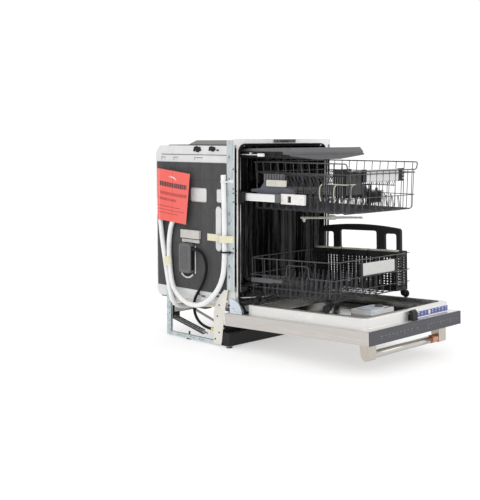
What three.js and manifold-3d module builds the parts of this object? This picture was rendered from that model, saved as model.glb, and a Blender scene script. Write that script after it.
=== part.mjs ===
// Built-in dishwasher, 24 inch class, standing open: the door is down and its three racks are pulled out.
// Millimetres. +Z up, +X to the right seen from the front, +Y towards the back.
// While it is built, x = 0 is the left side, y = 0 the front face of the tub's flange, z = 0 the floor.
// The finished group is then shifted so that the origin is the middle of the footprint, on the floor.
import * as THREE from 'three';
import { mergeVertices } from 'three/addons/utils/BufferGeometryUtils.js';
import Module from 'manifold-3d';

const wasm = await Module();
wasm.setup();

// ---- driving dimensions ----
const WIDTH = 603;
const HEIGHT = 863;
const MID = WIDTH / 2;
const GAP = 0.3;               // clearance between neighbouring pieces

const TUB = { x0: 10, x1: WIDTH - 10, y0: 1.8, y1: 503, z0: 165, z1: 835, wall: 1.2, round: 18, backRound: 36 };
const MOUTH = { x0: 25, x1: WIDTH - 25, z0: 176, z1: 845, round: 40 };
const PAD = { y0: 49, y1: 487, z0: 222, z1: 765, thick: 2.9 };

const HINGE = { y: 15, z: 168 };
const OPEN_TILT = 2.2;         // degrees that the open door stands above level
const DOOR = { y0: -690, y1: 56, z0: 96, z1: 148, sheet: 0.8 };
const RIM = { inset: 28, y0: -656, y1: -51, z1: 189, width: 27, floor: 140, round: 26 };
const BAR = { y: -630, z: 44.4, r: 15, bracket: 50, inset: 43.5, ferrule: 36 };

const WIRE = 4;                // rack wires, drawn square
const TRAY = { x0: 60, x1: WIDTH - 60, y0: -245, y1: 235, top: 824, floor: 802, well: 781, wall: 2.5 };
const UPPER = { x0: 82, x1: 521, y0: -500, y1: -25, z0: 578, z1: 773 };
const LOWER = { x0: 58, x1: 545, y0: -500, y1: -32, z0: 222, z1: 380 };
const PLATE = { x0: 199, x1: 404, tall: 48, thick: 8, cap: 14 };
const BASKET = { x0: 462, x1: 540, y0: -478, y1: -42, z0: 226.4, rim: 387, top: 496, wall: 2.5 };
const WHEEL = { r: 16, wide: 12, x: 37, front: -455, rear: -85 };
const SPRAY = { x: MID, y: 255, z: 185, reach: 215 };
const MID_ARM = { x: MID, y: -262, z: 545, reach: 132, turn: -35 };
const HOSE = { r: 9.5, sides: 8, steps: 54 };
const CORD = { r: 6, sides: 8, steps: 26 };
const FOOT = { r: 13, y: [42, 289], inset: 14 };

// ---- materials ----
const finish = (color, roughness, metalness) => new THREE.MeshStandardMaterial({ color, roughness, metalness });
const STAINLESS = finish(0xb9b5ae, 0.32, 1);
const GALVANISED = finish(0xc3cccf, 0.5, 0.8);
const LINER = finish(0xd9d7d2, 0.35, 0.7);
const BITUMEN = finish(0x4b4b4c, 0.9, 0);
const FELT = finish(0x6b675f, 1, 0);
const BLACK = finish(0x17181a, 0.55, 0);
const RUBBER = finish(0x0e0f10, 0.8, 0);
const SLATE = finish(0x45464b, 0.45, 0.3);
const CREAM = finish(0xdfddd0, 0.5, 0.2);
const WIRE_COAT = finish(0x4a4a4d, 0.5, 0);
const GREY_PLASTIC = finish(0x5b5d61, 0.5, 0);
const PALE_PLASTIC = finish(0xd6d5d0, 0.5, 0);
const WHITE_HOSE = finish(0xe9e9ea, 0.45, 0);
const COPPER = finish(0xb4694a, 0.3, 1);
const TAG_PAPER = finish(0xe8584f, 0.85, 0);

// ---- solids ----
function solid(geometry) {
  const bare = geometry.index ? geometry.toNonIndexed() : geometry.clone();
  for (const name of Object.keys(bare.attributes)) if (name !== 'position') bare.deleteAttribute(name);
  const merged = mergeVertices(bare, 1e-4);
  return new wasm.Manifold(new wasm.Mesh({
    numProp: 3,
    vertProperties: Float32Array.from(merged.attributes.position.array),
    triVerts: Uint32Array.from(merged.index.array),
  }));
}

function geometryOf(body) {
  const mesh = body.getMesh();
  const geometry = new THREE.BufferGeometry();
  geometry.setAttribute('position', new THREE.BufferAttribute(mesh.vertProperties, 3));
  geometry.setIndex(new THREE.BufferAttribute(mesh.triVerts, 1));
  return geometry;
}

const join = (...bodies) => bodies.flat().reduce((all, next) => all.add(next));
const cut = (body, ...tools) => tools.flat().reduce((left, tool) => left.subtract(tool), body);

function block(x0, x1, y0, y1, z0, z1) {
  const geometry = new THREE.BoxGeometry(x1 - x0, y1 - y0, z1 - z0);
  return solid(geometry.translate((x0 + x1) / 2, (y0 + y1) / 2, (z0 + z1) / 2));
}

// A cylinder of radius r from one point to another.
function rod(from, to, r, sides = 12) {
  const a = new THREE.Vector3(...from);
  const b = new THREE.Vector3(...to);
  const geometry = new THREE.CylinderGeometry(r, r, a.distanceTo(b), sides);
  const along = b.clone().sub(a).normalize();
  const turn = new THREE.Quaternion().setFromUnitVectors(new THREE.Vector3(0, 1, 0), along);
  geometry.applyQuaternion(turn);
  const middle = a.add(b).multiplyScalar(0.5);
  return solid(geometry.translate(middle.x, middle.y, middle.z));
}

function roundedRectangle(u0, u1, v0, v1, r, Kind = THREE.Shape) {
  const shape = new Kind();
  shape.moveTo(u0 + r, v0);
  shape.lineTo(u1 - r, v0);
  shape.absarc(u1 - r, v0 + r, r, -Math.PI / 2, 0);
  shape.lineTo(u1, v1 - r);
  shape.absarc(u1 - r, v1 - r, r, 0, Math.PI / 2);
  shape.lineTo(u0 + r, v1);
  shape.absarc(u0 + r, v1 - r, r, Math.PI / 2, Math.PI);
  shape.lineTo(u0, v0 + r);
  shape.absarc(u0 + r, v0 + r, r, Math.PI, 1.5 * Math.PI);
  return shape;
}

function outline(points) {
  return new THREE.Shape(points.map(([u, v]) => new THREE.Vector2(u, v)));
}

// A shape drawn in x and z, pushed from y0 to y1.
function alongY(shape, y0, y1, curveSegments = 4) {
  const geometry = new THREE.ExtrudeGeometry(shape, { depth: y1 - y0, bevelEnabled: false, curveSegments });
  return solid(geometry.rotateX(Math.PI / 2).translate(0, y1, 0));
}

// A shape drawn in y and z, pushed from x0 to x1.
function alongX(shape, x0, x1, curveSegments = 4) {
  const geometry = new THREE.ExtrudeGeometry(shape, { depth: x1 - x0, bevelEnabled: false, curveSegments });
  geometry.applyMatrix4(new THREE.Matrix4().set(0, 0, 1, 0, 1, 0, 0, 0, 0, 1, 0, 0, 0, 0, 0, 1));
  return solid(geometry.translate(x0, 0, 0));
}

// A shape drawn in x and y, pushed from z0 to z1.
function alongZ(shape, z0, z1, curveSegments = 4) {
  const geometry = new THREE.ExtrudeGeometry(shape, { depth: z1 - z0, bevelEnabled: false, curveSegments });
  return solid(geometry.translate(0, 0, z0));
}

// A round flexible tube through the given points.
function tube(points, r, sides, steps) {
  const path = new THREE.CatmullRomCurve3(points.map((p) => new THREE.Vector3(...p)), false, 'centripetal');
  const section = new THREE.Shape();
  for (let i = 0; i < sides; i += 1) {
    const angle = (2 * Math.PI * i) / sides;
    const corner = [r * Math.cos(angle), r * Math.sin(angle)];
    if (i === 0) section.moveTo(...corner);
    else section.lineTo(...corner);
  }
  section.closePath();
  return solid(new THREE.ExtrudeGeometry(section, { steps, extrudePath: path, bevelEnabled: false }));
}

// The same piece on the right-hand side.
const mirrored = (body) => body.mirror([1, 0, 0]).translate([WIDTH, 0, 0]);

// ---- groups ----
const dishwasher = new THREE.Group();

// A group that leans with the open door: everything in it is drawn level and turns about the hinge line.
function leaning() {
  const turned = new THREE.Group();
  turned.position.set(0, HINGE.y, HINGE.z);
  turned.rotation.x = THREE.MathUtils.degToRad(-OPEN_TILT);
  const level = new THREE.Group();
  level.position.set(0, -HINGE.y, -HINGE.z);
  turned.add(level);
  dishwasher.add(turned);
  return level;
}

const door = leaning();
const lowerRack = leaning();
const cabinet = new THREE.Group();
const upperRacks = new THREE.Group();
dishwasher.add(cabinet, upperRacks);

function piece(group, name, body, material) {
  const mesh = new THREE.Mesh(geometryOf(body), material);
  mesh.name = name;
  group.add(mesh);
}

function pair(group, name, body, material) {
  piece(group, `${name}_left`, body, material);
  piece(group, `${name}_right`, mirrored(body), material);
}

// ---- tub and its front frame ----
function tubSolid(inset) {
  const box = { x0: TUB.x0 + inset, x1: TUB.x1 - inset, z0: TUB.z0 + inset, z1: TUB.z1 - inset };
  const back = TUB.y1 - inset;
  const front = TUB.y0 - (inset > 0 ? 10 : 0);
  const across = roundedRectangle(box.x0, box.x1, box.z0, box.z1, TUB.round - inset);
  const fromSide = roundedRectangle(front - 80, back, box.z0, box.z1, TUB.backRound - inset);
  return alongY(across, front, back).intersect(alongX(fromSide, 0, WIDTH));
}

// Sloping ledges on the tub's sides, in line with the open door's rims, for the lower rack's wheels.
function wheelLedge() {
  const drop = Math.tan(THREE.MathUtils.degToRad(OPEN_TILT));
  const top = (y) => RIM.z1 - (y - HINGE.y) * drop - 0.8;
  const [front, back] = [5, 470];
  const strip = outline([[front, top(front)], [back, top(back)], [back, top(back) - 1.2], [front, top(front) - 1.2]]);
  return alongX(strip, TUB.x0 + 0.5, WHEEL.x + WHEEL.wide + 1);
}

const SUMP = { x0: MID - 66, x1: MID + 66, y0: 120, y1: 320, round: 40, z0: 92, wall: 3 };
const sumpHole = alongZ(roundedRectangle(SUMP.x0, SUMP.x1, SUMP.y0, SUMP.y1, SUMP.round), TUB.z0 - 5, TUB.z0 + 5);
const ledge = wheelLedge();
piece(cabinet, 'tub_shell', join(cut(tubSolid(0), tubSolid(TUB.wall), sumpHole), ledge, mirrored(ledge)), STAINLESS);

const FRAME = { thick: 1.5, foot: 153, step: 246, lipX: 12, returnY: 41, sideTop: 857 };
function frontFrame() {
  const face = outline([
    [FRAME.lipX, FRAME.foot], [WIDTH - FRAME.lipX, FRAME.foot], [WIDTH - FRAME.lipX, FRAME.step],
    [WIDTH, FRAME.step], [WIDTH, HEIGHT], [0, HEIGHT], [0, FRAME.step], [FRAME.lipX, FRAME.step],
  ]);
  face.holes.push(roundedRectangle(MOUTH.x0, MOUTH.x1, MOUTH.z0, MOUTH.z1, MOUTH.round - 6, THREE.Path));
  const side = block(0, FRAME.thick, 0, FRAME.returnY, FRAME.step, FRAME.sideTop);
  const top = block(20, WIDTH - 20, 0, 30, HEIGHT - FRAME.thick, HEIGHT);
  return join(alongY(face, 0, FRAME.thick), side, mirrored(side), top);
}
piece(cabinet, 'front_frame', frontFrame(), GALVANISED);

// The door seal is an inverted U inside the mouth.
function doorGasket() {
  const seal = 6;
  const [x0, x1, z1] = [MOUTH.x0 + GAP, MOUTH.x1 - GAP, MOUTH.z1 - GAP];
  const ring = roundedRectangle(x0, x1, MOUTH.z0, z1, MOUTH.round - 6);
  ring.holes.push(roundedRectangle(x0 + seal, x1 - seal, MOUTH.z0 + seal, z1 - seal, MOUTH.round - 12, THREE.Path));
  return cut(alongY(ring, -5, FRAME.thick), block(0, WIDTH, -10, 20, 0, 215));
}
piece(cabinet, 'door_gasket', doorGasket(), RUBBER);

const LATCH_SEAT = { x0: 236, x1: 367, y0: -6, z0: 847.5, z1: 861 };
const strikeSlot = block(MID - 22, MID + 22, -10, -2, LATCH_SEAT.z0 + 3, LATCH_SEAT.z0 + 9);
const strikeBody = block(LATCH_SEAT.x0, LATCH_SEAT.x1, LATCH_SEAT.y0, -GAP, LATCH_SEAT.z0, LATCH_SEAT.z1);
piece(cabinet, 'latch_strike', cut(strikeBody, strikeSlot), GREY_PLASTIC);

// ---- sound pads ----
function sidePad() {
  const pad = outline([[PAD.y0, PAD.z0], [PAD.y1, PAD.z0], [PAD.y1, PAD.z1], [PAD.y0, PAD.z1]]);
  const holes = [[169, 270, 599, 659, 9], [62, 112, 602, 658, 9], [80, 118, 399, 587, 18], [244, 339, 273, 429, 46]];
  for (const [y0, y1, z0, z1, r] of holes) pad.holes.push(roundedRectangle(y0, y1, z0, z1, r, THREE.Path));
  return alongX(pad, TUB.x0 - GAP - PAD.thick, TUB.x0 - GAP);
}
pair(cabinet, 'side_pad', sidePad(), BITUMEN);
piece(cabinet, 'top_pad', block(60, WIDTH - 60, 62, 340, TUB.z1 + GAP, TUB.z1 + 15), FELT);

// ---- base ----
const BASE = { y0: 76, y1: 424, post: 396, z0: 5, rail: 23, postTop: 214, sheet: 1.6, flange: 26 };
const STUD = { r: 4, hole: 4.6, top: 34 };
function baseFrame() {
  const x0 = 2;
  const x1 = x0 + BASE.sheet;
  const web = outline([
    [BASE.y0, BASE.z0], [BASE.y1, BASE.z0], [BASE.y1, BASE.postTop],
    [BASE.post, BASE.postTop], [BASE.post, BASE.rail], [BASE.y0, BASE.rail],
  ]);
  const flange = block(x0, BASE.flange, 33, BASE.y1, BASE.z0, BASE.z0 + BASE.sheet);
  const backLeg = block(x0, 22, BASE.y1 - BASE.sheet, BASE.y1, BASE.z0, TUB.z0 - 4);
  const holes = FOOT.y.map((y) => rod([FOOT.inset, y, 0], [FOOT.inset, y, 12], STUD.hole));
  return cut(join(alongX(web, x0, x1), flange, backLeg), holes);
}
pair(cabinet, 'base_frame', baseFrame(), GALVANISED);

function levellingFoot(y) {
  const pad = rod([FOOT.inset, y, 0], [FOOT.inset, y, BASE.z0 - 0.4], FOOT.r, 16);
  return join(pad, rod([FOOT.inset, y, 1], [FOOT.inset, y, STUD.top], STUD.r, 10));
}
pair(cabinet, 'foot_front', levellingFoot(FOOT.y[0]), BLACK);
pair(cabinet, 'foot_rear', levellingFoot(FOOT.y[1]), BLACK);

// The hinge post stands between the base rail and the tub's front corner, and carries the door's pivot.
function hingePost() {
  const side = outline([
    [76, 8], [121, 8], [121, 143], [112, 172], [92, 208], [66, 236], [57, 244], [36, 244], [57, 152], [62, 110],
  ]);
  const web = alongX(side, 0, 1.2);
  const rib = block(0.5, 24, 119.4, 121, 30, 143);
  const pivotPin = rod([1, HINGE.y + 31, 196], [9, HINGE.y + 31, 196], 5, 10);
  return join(web, rib, pivotPin);
}
// The left post also holds the power cord's gland.
const GLAND = { y0: 120, y1: 127, z: 66, r: 9 };
const gland = rod([10, GLAND.y0, GLAND.z], [10, GLAND.y1, GLAND.z], GLAND.r, 12);
piece(cabinet, 'hinge_post_left', join(hingePost(), gland), CREAM);
piece(cabinet, 'hinge_post_right', mirrored(hingePost()), CREAM);

const crossbar = outline([[404, 100], [408, 100], [408, 134], [424, 134], [424, 138], [404, 138]]);
piece(cabinet, 'rear_crossbar', alongX(crossbar, 32, WIDTH - 32), BLACK);

function toeKick() {
  const profile = outline([
    [30, 8], [31.5, 8], [31.5, 62], [73.5, 62], [73.5, 92], [72, 92], [72, 63.5], [30, 63.5],
  ]);
  const cap = block(1.5, 3, 30, 73.5, 8, 63.5);
  return join(alongX(profile, 1.5, WIDTH - 1.5), cap, mirrored(cap));
}
piece(cabinet, 'toe_kick', toeKick(), BLACK);

// Close-wound extension springs that balance the door, with a hook rod at each end.
function doorSpring() {
  const rear = new THREE.Vector3(18, 384, 82);
  const front = new THREE.Vector3(18, 204, 44);
  const at = (t) => rear.clone().lerp(front, t).toArray();
  return join(rod(at(0), at(1), 11, 12), rod(at(-0.07), at(0.1), 3, 8), rod(at(0.9), at(1.12), 3, 8));
}
pair(cabinet, 'door_spring', doorSpring(), BLACK);

// ---- water system ----
function sumpHousing() {
  const { x0, x1, y0, y1, round, z0, wall } = SUMP;
  const rim = TUB.z0 + TUB.wall;
  const cup = alongZ(roundedRectangle(x0 + 0.6, x1 - 0.6, y0 + 0.6, y1 - 0.6, round), z0, rim);
  const inside = alongZ(roundedRectangle(x0 + wall, x1 - wall, y0 + wall, y1 - wall, round - wall), z0 + wall, rim + 1);
  const tower = rod([SPRAY.x, SPRAY.y, z0 + 1], [SPRAY.x, SPRAY.y, SPRAY.z - 2.3], 11);
  return join(cut(cup, inside), tower);
}
piece(cabinet, 'sump_housing', sumpHousing(), GREY_PLASTIC);

const FILTER = { x: MID, y: 178, r: 38, z0: SUMP.z0 + SUMP.wall + GAP, z1: 171 };
function filterCup() {
  const { x, y, r, z0, z1 } = FILTER;
  const grip = block(x - 26, x + 26, y - 3, y + 3, z1 - 1, z1 + 8);
  return join(rod([x, y, z0], [x, y, z1], r, 20), grip);
}
piece(cabinet, 'filter_cup', filterCup(), GREY_PLASTIC);

function washPump() {
  const motor = rod([380, 232, 106], [520, 232, 106], 44, 18);
  const volute = rod([SUMP.x1 + 1, 232, 106], [382, 232, 106], 30, 14);
  return join(motor, volute);
}
piece(cabinet, 'wash_pump', washPump(), BLACK);

const DRAIN = { x: 156, y: 378, z: 128 };
function drainPump() {
  const body = block(DRAIN.x, DRAIN.x + 66, 345, 396, DRAIN.z - 25, DRAIN.z + 28);
  const nozzle = rod([DRAIN.x - 13.7, DRAIN.y, DRAIN.z], [DRAIN.x + 1, DRAIN.y, DRAIN.z], 8, 10);
  return join(body, nozzle);
}
piece(cabinet, 'drain_pump', drainPump(), GREY_PLASTIC);

const heater = new THREE.TorusGeometry(150, 4, 6, 24).translate(SPRAY.x, SPRAY.y, 175);
piece(cabinet, 'heater_element', solid(heater), STAINLESS);

// Two-bladed spray arm: flat blades that taper to round tips.
function sprayArm(x, y, z0, z1, reach, turn, hubRadius, hubBottom, hubTop) {
  const blade = new THREE.Shape();
  blade.moveTo(-reach + 12, -13);
  blade.lineTo(0, -22);
  blade.lineTo(reach - 12, -13);
  blade.absarc(reach - 13, 0, 13, -Math.PI / 2, Math.PI / 2);
  blade.lineTo(0, 22);
  blade.lineTo(-reach + 12, 13);
  blade.absarc(-reach + 13, 0, 13, Math.PI / 2, 1.5 * Math.PI);
  const arm = join(alongZ(blade, z0, z1, 6), rod([0, 0, hubBottom], [0, 0, hubTop], hubRadius, 16));
  return arm.rotate([0, 0, turn]).translate([x, y, 0]);
}
const lowerArm = sprayArm(SPRAY.x, SPRAY.y, SPRAY.z, SPRAY.z + 11, SPRAY.reach, 28, 24, SPRAY.z - 2, SPRAY.z + 13);
piece(cabinet, 'lower_spray_arm', lowerArm, GREY_PLASTIC);

piece(cabinet, 'water_conduit', block(MID - 17, MID + 17, 492, TUB.y1 - TUB.wall - GAP, 205, 802), GREY_PLASTIC);

// ---- fixed rack rails ----
const RAIL = { x0: TUB.x0 + TUB.wall + GAP, x1: 31, y0: 16, y1: 478 };
pair(cabinet, 'third_rail', block(RAIL.x0, RAIL.x1, RAIL.y0, RAIL.y1, 791, 814), GALVANISED);
function upperRail() {
  const channel = cut(block(RAIL.x0, RAIL.x1, RAIL.y0, RAIL.y1, 608, 654), block(20, 40, 40, 490, 615, 647));
  return join(channel, block(30, 33.2, 16, 39, 611, 651), block(31.6, 33.2, -9, 39, 611, 651));
}
pair(cabinet, 'upper_rail', upperRail(), BLACK);

// ---- third rack: a shallow cutlery tray with a deeper middle ----
function tray() {
  const { x0, x1, y0, y1, top, floor, well, wall } = TRAY;
  const wellX = [232, 371];
  const outer = join(block(x0, x1, y0, y1, floor, top), block(wellX[0], wellX[1], y0, y1, well, top));
  const inner = block(x0 + wall, x1 - wall, y0 + wall, y1 - wall, floor + wall, top + 5);
  const deep = block(wellX[0] + wall, wellX[1] - wall, y0 + wall, y1 - wall, well + wall, top + 5);
  const runner = block(36, x0 + 1, -134, y1, 797, 811);
  return join(cut(outer, inner, deep), runner, mirrored(runner));
}
piece(upperRacks, 'third_rack_tray', tray(), GREY_PLASTIC);

// ---- wire racks ----
const RIB = 3.4;               // ribs are thinner than the rings they join
const wireX = (x0, x1, y, z, w = WIRE) => block(x0, x1, y - w / 2, y + w / 2, z - w / 2, z + w / 2);
const wireY = (y0, y1, x, z, w = WIRE) => block(x - w / 2, x + w / 2, y0, y1, z - w / 2, z + w / 2);
const wireZ = (z0, z1, x, y, w = WIRE) => block(x - w / 2, x + w / 2, y - w / 2, y + w / 2, z0, z1);

function spread(from, to, count) {
  return Array.from({ length: count }, (_, i) => from + ((to - from) * i) / (count - 1));
}

// An open basket of wires: rings at the given heights, ribs up every wall and wires across the floor.
function wireBasket(box, rings, countX, countY) {
  const half = WIRE / 2;
  const [x0, x1] = [box.x0 + half, box.x1 - half];
  const [y0, y1] = [box.y0 + half, box.y1 - half];
  const [z0, z1] = [box.z0 + half, box.z1 - half];
  const wires = [];
  for (const z of [z0, ...rings, z1]) {
    for (const y of [y0, y1]) wires.push(wireX(box.x0, box.x1, y, z));
    for (const x of [x0, x1]) wires.push(wireY(box.y0, box.y1, x, z));
  }
  for (const x of spread(x0, x1, countX)) {
    for (const y of [y0, y1]) wires.push(wireZ(z0, z1, x, y, RIB));
    wires.push(wireY(y0, y1, x, z0, RIB));
  }
  for (const y of spread(y0, y1, countY).slice(1, -1)) {
    for (const x of [x0, x1]) wires.push(wireZ(z0, z1, x, y, RIB));
  }
  return join(wires);
}

// The grip plate on a rack's front, with a dark cap at each end.
function gripPlate(front, z0) {
  const plate = block(PLATE.x0, PLATE.x1, front - PLATE.thick - GAP, front - GAP, z0, z0 + PLATE.tall);
  const hand = block(PLATE.x0 + PLATE.cap, PLATE.x1 - PLATE.cap, front - 4, front + 1, z0 + 5, z0 + PLATE.tall - 5);
  return cut(plate, hand);
}

// White slide carrier and height adjuster on each side of the upper rack.
function rackCarrier() {
  const carrier = block(45, 58, -345, -205, 610, 650);
  const adjuster = block(57, UPPER.x0 + 1, -256, -82, 628, 668);
  return join(carrier, adjuster);
}
const carrier = rackCarrier();
const upperBasket = join(wireBasket(UPPER, [640, 700], 6, 6), carrier, mirrored(carrier));
const dock = rod([MID, MID_ARM.y, MID_ARM.z + 12], [MID, MID_ARM.y, UPPER.z0 + 1], 12);
const manifoldPipe = block(MID - 9, MID + 9, MID_ARM.y, UPPER.y1, UPPER.z0 - 14, UPPER.z0 + 2);
piece(upperRacks, 'upper_rack_basket', join(upperBasket, dock, manifoldPipe), WIRE_COAT);
piece(upperRacks, 'upper_rack_handle', gripPlate(UPPER.y0, 699), PALE_PLASTIC);
const middleArm = sprayArm(MID_ARM.x, MID_ARM.y, MID_ARM.z - 7, MID_ARM.z + 5, MID_ARM.reach, MID_ARM.turn,
  20, MID_ARM.z - 10, MID_ARM.z + 11.7);
piece(upperRacks, 'middle_spray_arm', middleArm, PALE_PLASTIC);
pair(upperRacks, 'rail_member', block(33.5, 43.5, -215, 218, 616, 646), GALVANISED);

const lowerBasket = join(
  wireBasket(LOWER, [262, 311], 6, 6),
  [WHEEL.front, WHEEL.rear].map((y) => {
    const hanger = block(LOWER.x0, LOWER.x0 + WIRE, y - 9, y + 9, 200, LOWER.z0 + 3);
    return join(hanger, mirrored(hanger));
  }),
);
piece(lowerRack, 'lower_rack_basket', lowerBasket, WIRE_COAT);
piece(lowerRack, 'lower_rack_handle', gripPlate(LOWER.y0, 318), PALE_PLASTIC);

function rackWheel(y) {
  const z = RIM.z1 + GAP + WHEEL.r;
  const tyre = rod([WHEEL.x, y, z], [WHEEL.x + WHEEL.wide, y, z], WHEEL.r, 20);
  return join(tyre, rod([WHEEL.x + 2, y, z], [LOWER.x0 - GAP, y, z], 6, 10));
}
pair(lowerRack, 'wheel_front', rackWheel(WHEEL.front), BLACK);
pair(lowerRack, 'wheel_rear', rackWheel(WHEEL.rear), BLACK);

// Silverware basket: three cells in a row, each with a window under its carrying frame.
function silverwareBasket() {
  const { x0, x1, y0, y1, z0, rim, top, wall } = BASKET;
  const cell = (y1 - y0) / 3;
  const cells = [0, 1, 2].map((i) => {
    const from = y0 + i * cell + (i === 0 ? wall : wall / 2);
    const to = y0 + (i + 1) * cell - (i === 2 ? wall : wall / 2);
    return block(x0 + wall, x1 - wall, from, to, z0 + wall, rim + 5);
  });
  const box = cut(block(x0, x1, y0, y1, z0, rim), cells);
  const arch = new THREE.Shape();
  arch.moveTo(y0, rim - 4);
  arch.lineTo(y1, rim - 4);
  arch.lineTo(y1, top - 16);
  arch.quadraticCurveTo((y0 + y1) / 2, top + 16, y0, top - 16);
  arch.closePath();
  const post = 18;
  const windows = [0, 1, 2].map((i) => {
    const from = y0 + i * cell + post;
    const to = y0 + (i + 1) * cell - post;
    return block(0, WIDTH, from, to, rim + 3, top - 34);
  });
  const middle = (x0 + x1) / 2;
  const partition = block(middle - 1, middle + 1, y0 + 1, y1 - 1, z0 + 1, rim - 3);
  return join(box, partition, cut(alongX(arch, middle - 6, middle + 6), windows));
}
piece(lowerRack, 'silverware_basket', silverwareBasket(), BLACK);

// ---- door ----
function doorSkin() {
  const { y0, y1, z0, z1, sheet } = DOOR;
  const front = y0 + 4.3;
  const outer = block(0, WIDTH, front, y1, z0, z1);
  const inner = block(sheet, WIDTH - sheet, front + sheet, y1 - sheet, z0 + sheet, z1 + 5);
  return cut(outer, inner);
}
piece(door, 'door_outer_panel', doorSkin(), STAINLESS);

// Stainless liner: a flange over the skin, a raised rim and a shallow pan inside the rim.
function doorLiner() {
  const sheet = DOOR.sheet;
  const [x0, x1] = [RIM.inset, WIDTH - RIM.inset];
  const [y0, y1] = [RIM.y0, RIM.y1];
  const base = DOOR.z1 + GAP;
  const deck = alongZ(roundedRectangle(2, WIDTH - 2, DOOR.y0 + 6, DOOR.y1 - 2, 4), base, base + sheet);
  const rim = alongZ(roundedRectangle(x0, x1, y0, y1, RIM.round), base, RIM.z1);
  const under = alongZ(roundedRectangle(x0 + sheet, x1 - sheet, y0 + sheet, y1 - sheet, RIM.round - sheet),
    base - 1, RIM.z1 - sheet);
  const w = RIM.width;
  const pan = alongZ(roundedRectangle(x0 + w - sheet, x1 - w + sheet, y0 + w - sheet, y1 - w + sheet, 20),
    RIM.floor - sheet, RIM.z1 - 0.1);
  const well = alongZ(roundedRectangle(x0 + w, x1 - w, y0 + w, y1 - w, 19), RIM.floor, RIM.z1 + 5);
  return cut(join(cut(join(deck, rim), under), pan), well);
}
piece(door, 'door_inner_liner', doorLiner(), LINER);

const controlFace = block(0, WIDTH, DOOR.y0, DOOR.y0 + 4, DOOR.z0, DOOR.z1);
piece(door, 'control_panel', controlFace, SLATE);

// ---- towel-bar handle on brackets ----
const barEnd = BAR.inset + BAR.bracket;
function handleBracket() {
  const side = new THREE.Shape();
  side.moveTo(BAR.y + 22, DOOR.z0 - GAP);
  side.lineTo(BAR.y - 18, DOOR.z0 - GAP);
  side.lineTo(BAR.y - 18, BAR.z - 10);
  side.quadraticCurveTo(BAR.y - 18, BAR.z - 16, BAR.y - 11, BAR.z - 16);
  side.lineTo(BAR.y - 3, BAR.z - 16);
  side.quadraticCurveTo(BAR.y + 13, BAR.z - 14, BAR.y + 17, BAR.z + 8);
  side.closePath();
  return alongX(side, BAR.inset, barEnd);
}
pair(door, 'handle_bracket', handleBracket(), STAINLESS);
const ferruleStart = WIDTH - barEnd - GAP - BAR.ferrule;
piece(door, 'handle_bar', rod([barEnd + GAP, BAR.y, BAR.z], [ferruleStart - GAP, BAR.y, BAR.z], BAR.r, 20), STAINLESS);
piece(door, 'handle_ferrule',
  rod([ferruleStart, BAR.y, BAR.z], [WIDTH - barEnd - GAP, BAR.y, BAR.z], BAR.r + 2, 20), COPPER);

// Quarter-round hinge arm that stands on the liner's flange beside the rim.
function hingeArm() {
  const fin = new THREE.Shape();
  const foot = DOOR.z1 + GAP + DOOR.sheet + GAP;
  fin.moveTo(HINGE.y + 14, foot);
  fin.lineTo(HINGE.y + 14, foot + 58);
  fin.absarc(HINGE.y + 6, foot, 60, Math.PI / 2, Math.PI, false);
  fin.closePath();
  return alongX(fin, 3.5, 7, 8);
}
pair(door, 'hinge_arm', hingeArm(), GALVANISED);

// ---- detergent dispenser, lid and rinse-aid cap on the liner's pan ----
const DISPENSER = { x0: 300, x1: 452, y0: -478, y1: -362, z0: RIM.floor + GAP, z1: 164 };
function dispenser() {
  const { x0, x1, y0, y1, z0, z1 } = DISPENSER;
  const body = alongZ(roundedRectangle(x0, x1, y0, y1, 14), z0, z1);
  const cup = block(x0 + 14, x0 + 78, y0 + 26, y0 + 82, z0 + 5, z1 + 5);
  return cut(body, cup);
}
piece(door, 'dispenser_housing', dispenser(), GREY_PLASTIC);
const lidTop = DISPENSER.z1 + GAP;
const lid = alongZ(roundedRectangle(DISPENSER.x0 + 8, DISPENSER.x0 + 84, DISPENSER.y0 + 12, DISPENSER.y0 + 88, 8),
  lidTop, lidTop + 4);
piece(door, 'dispenser_lid', lid, PALE_PLASTIC);
const CAP = { x: 420, y: -420, r: 17 };
const capGrip = block(CAP.x - 13, CAP.x + 13, CAP.y - 2.5, CAP.y + 2.5, lidTop + 5, lidTop + 10);
piece(door, 'rinse_cap', join(rod([CAP.x, CAP.y, lidTop], [CAP.x, CAP.y, lidTop + 6], CAP.r, 20), capGrip), BLACK);

const latchFoot = DOOR.z1 + 2 * GAP + DOOR.sheet;
const latchHook = outline([
  [-680, latchFoot], [-664, latchFoot], [-664, 176], [-659, 182], [-668, 190], [-676, 184], [-680, 170],
]);
piece(door, 'door_latch', alongX(latchHook, MID - 15, MID + 15), BLACK);

// ---- drain hose, strapped up the left side, with a shipping tag over its loop ----
const hoseRoute = [
  [142, 378, 128], [120, 378, 128], [90, 378, 128], [58, 378, 128], [25, 379, 136.8], [0.8, 381, 161],
  [-8, 387, 197], [-8, 398, 238], [-8, 412, 300], [-8, 425, 365], [-8, 438, 430], [-8, 449, 510], [-8, 454, 572], [-8, 446, 635],
  [-8, 416, 685], [-8, 369, 702], [-8, 325, 683], [-8, 302, 642], [-8, 304, 592], [-8, 332, 546], [-8, 372, 502],
  [-8, 388, 450], [-8, 394, 395], [-8, 391, 340], [-10, 382, 283], [-15, 362, 232], [-18, 325, 195], [-20, 276, 170],
  [-20, 222, 162], [-20, 166, 174], [-18, 115, 207], [-14, 76, 252], [-10, 55, 305], [-8, 48, 370], [-8, 47, 450],
  [-8, 48, 540], [-8, 50, 630], [-8, 53, 718],
];
piece(cabinet, 'drain_hose', tube(hoseRoute, HOSE.r, HOSE.sides, HOSE.steps), WHITE_HOSE);

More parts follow.
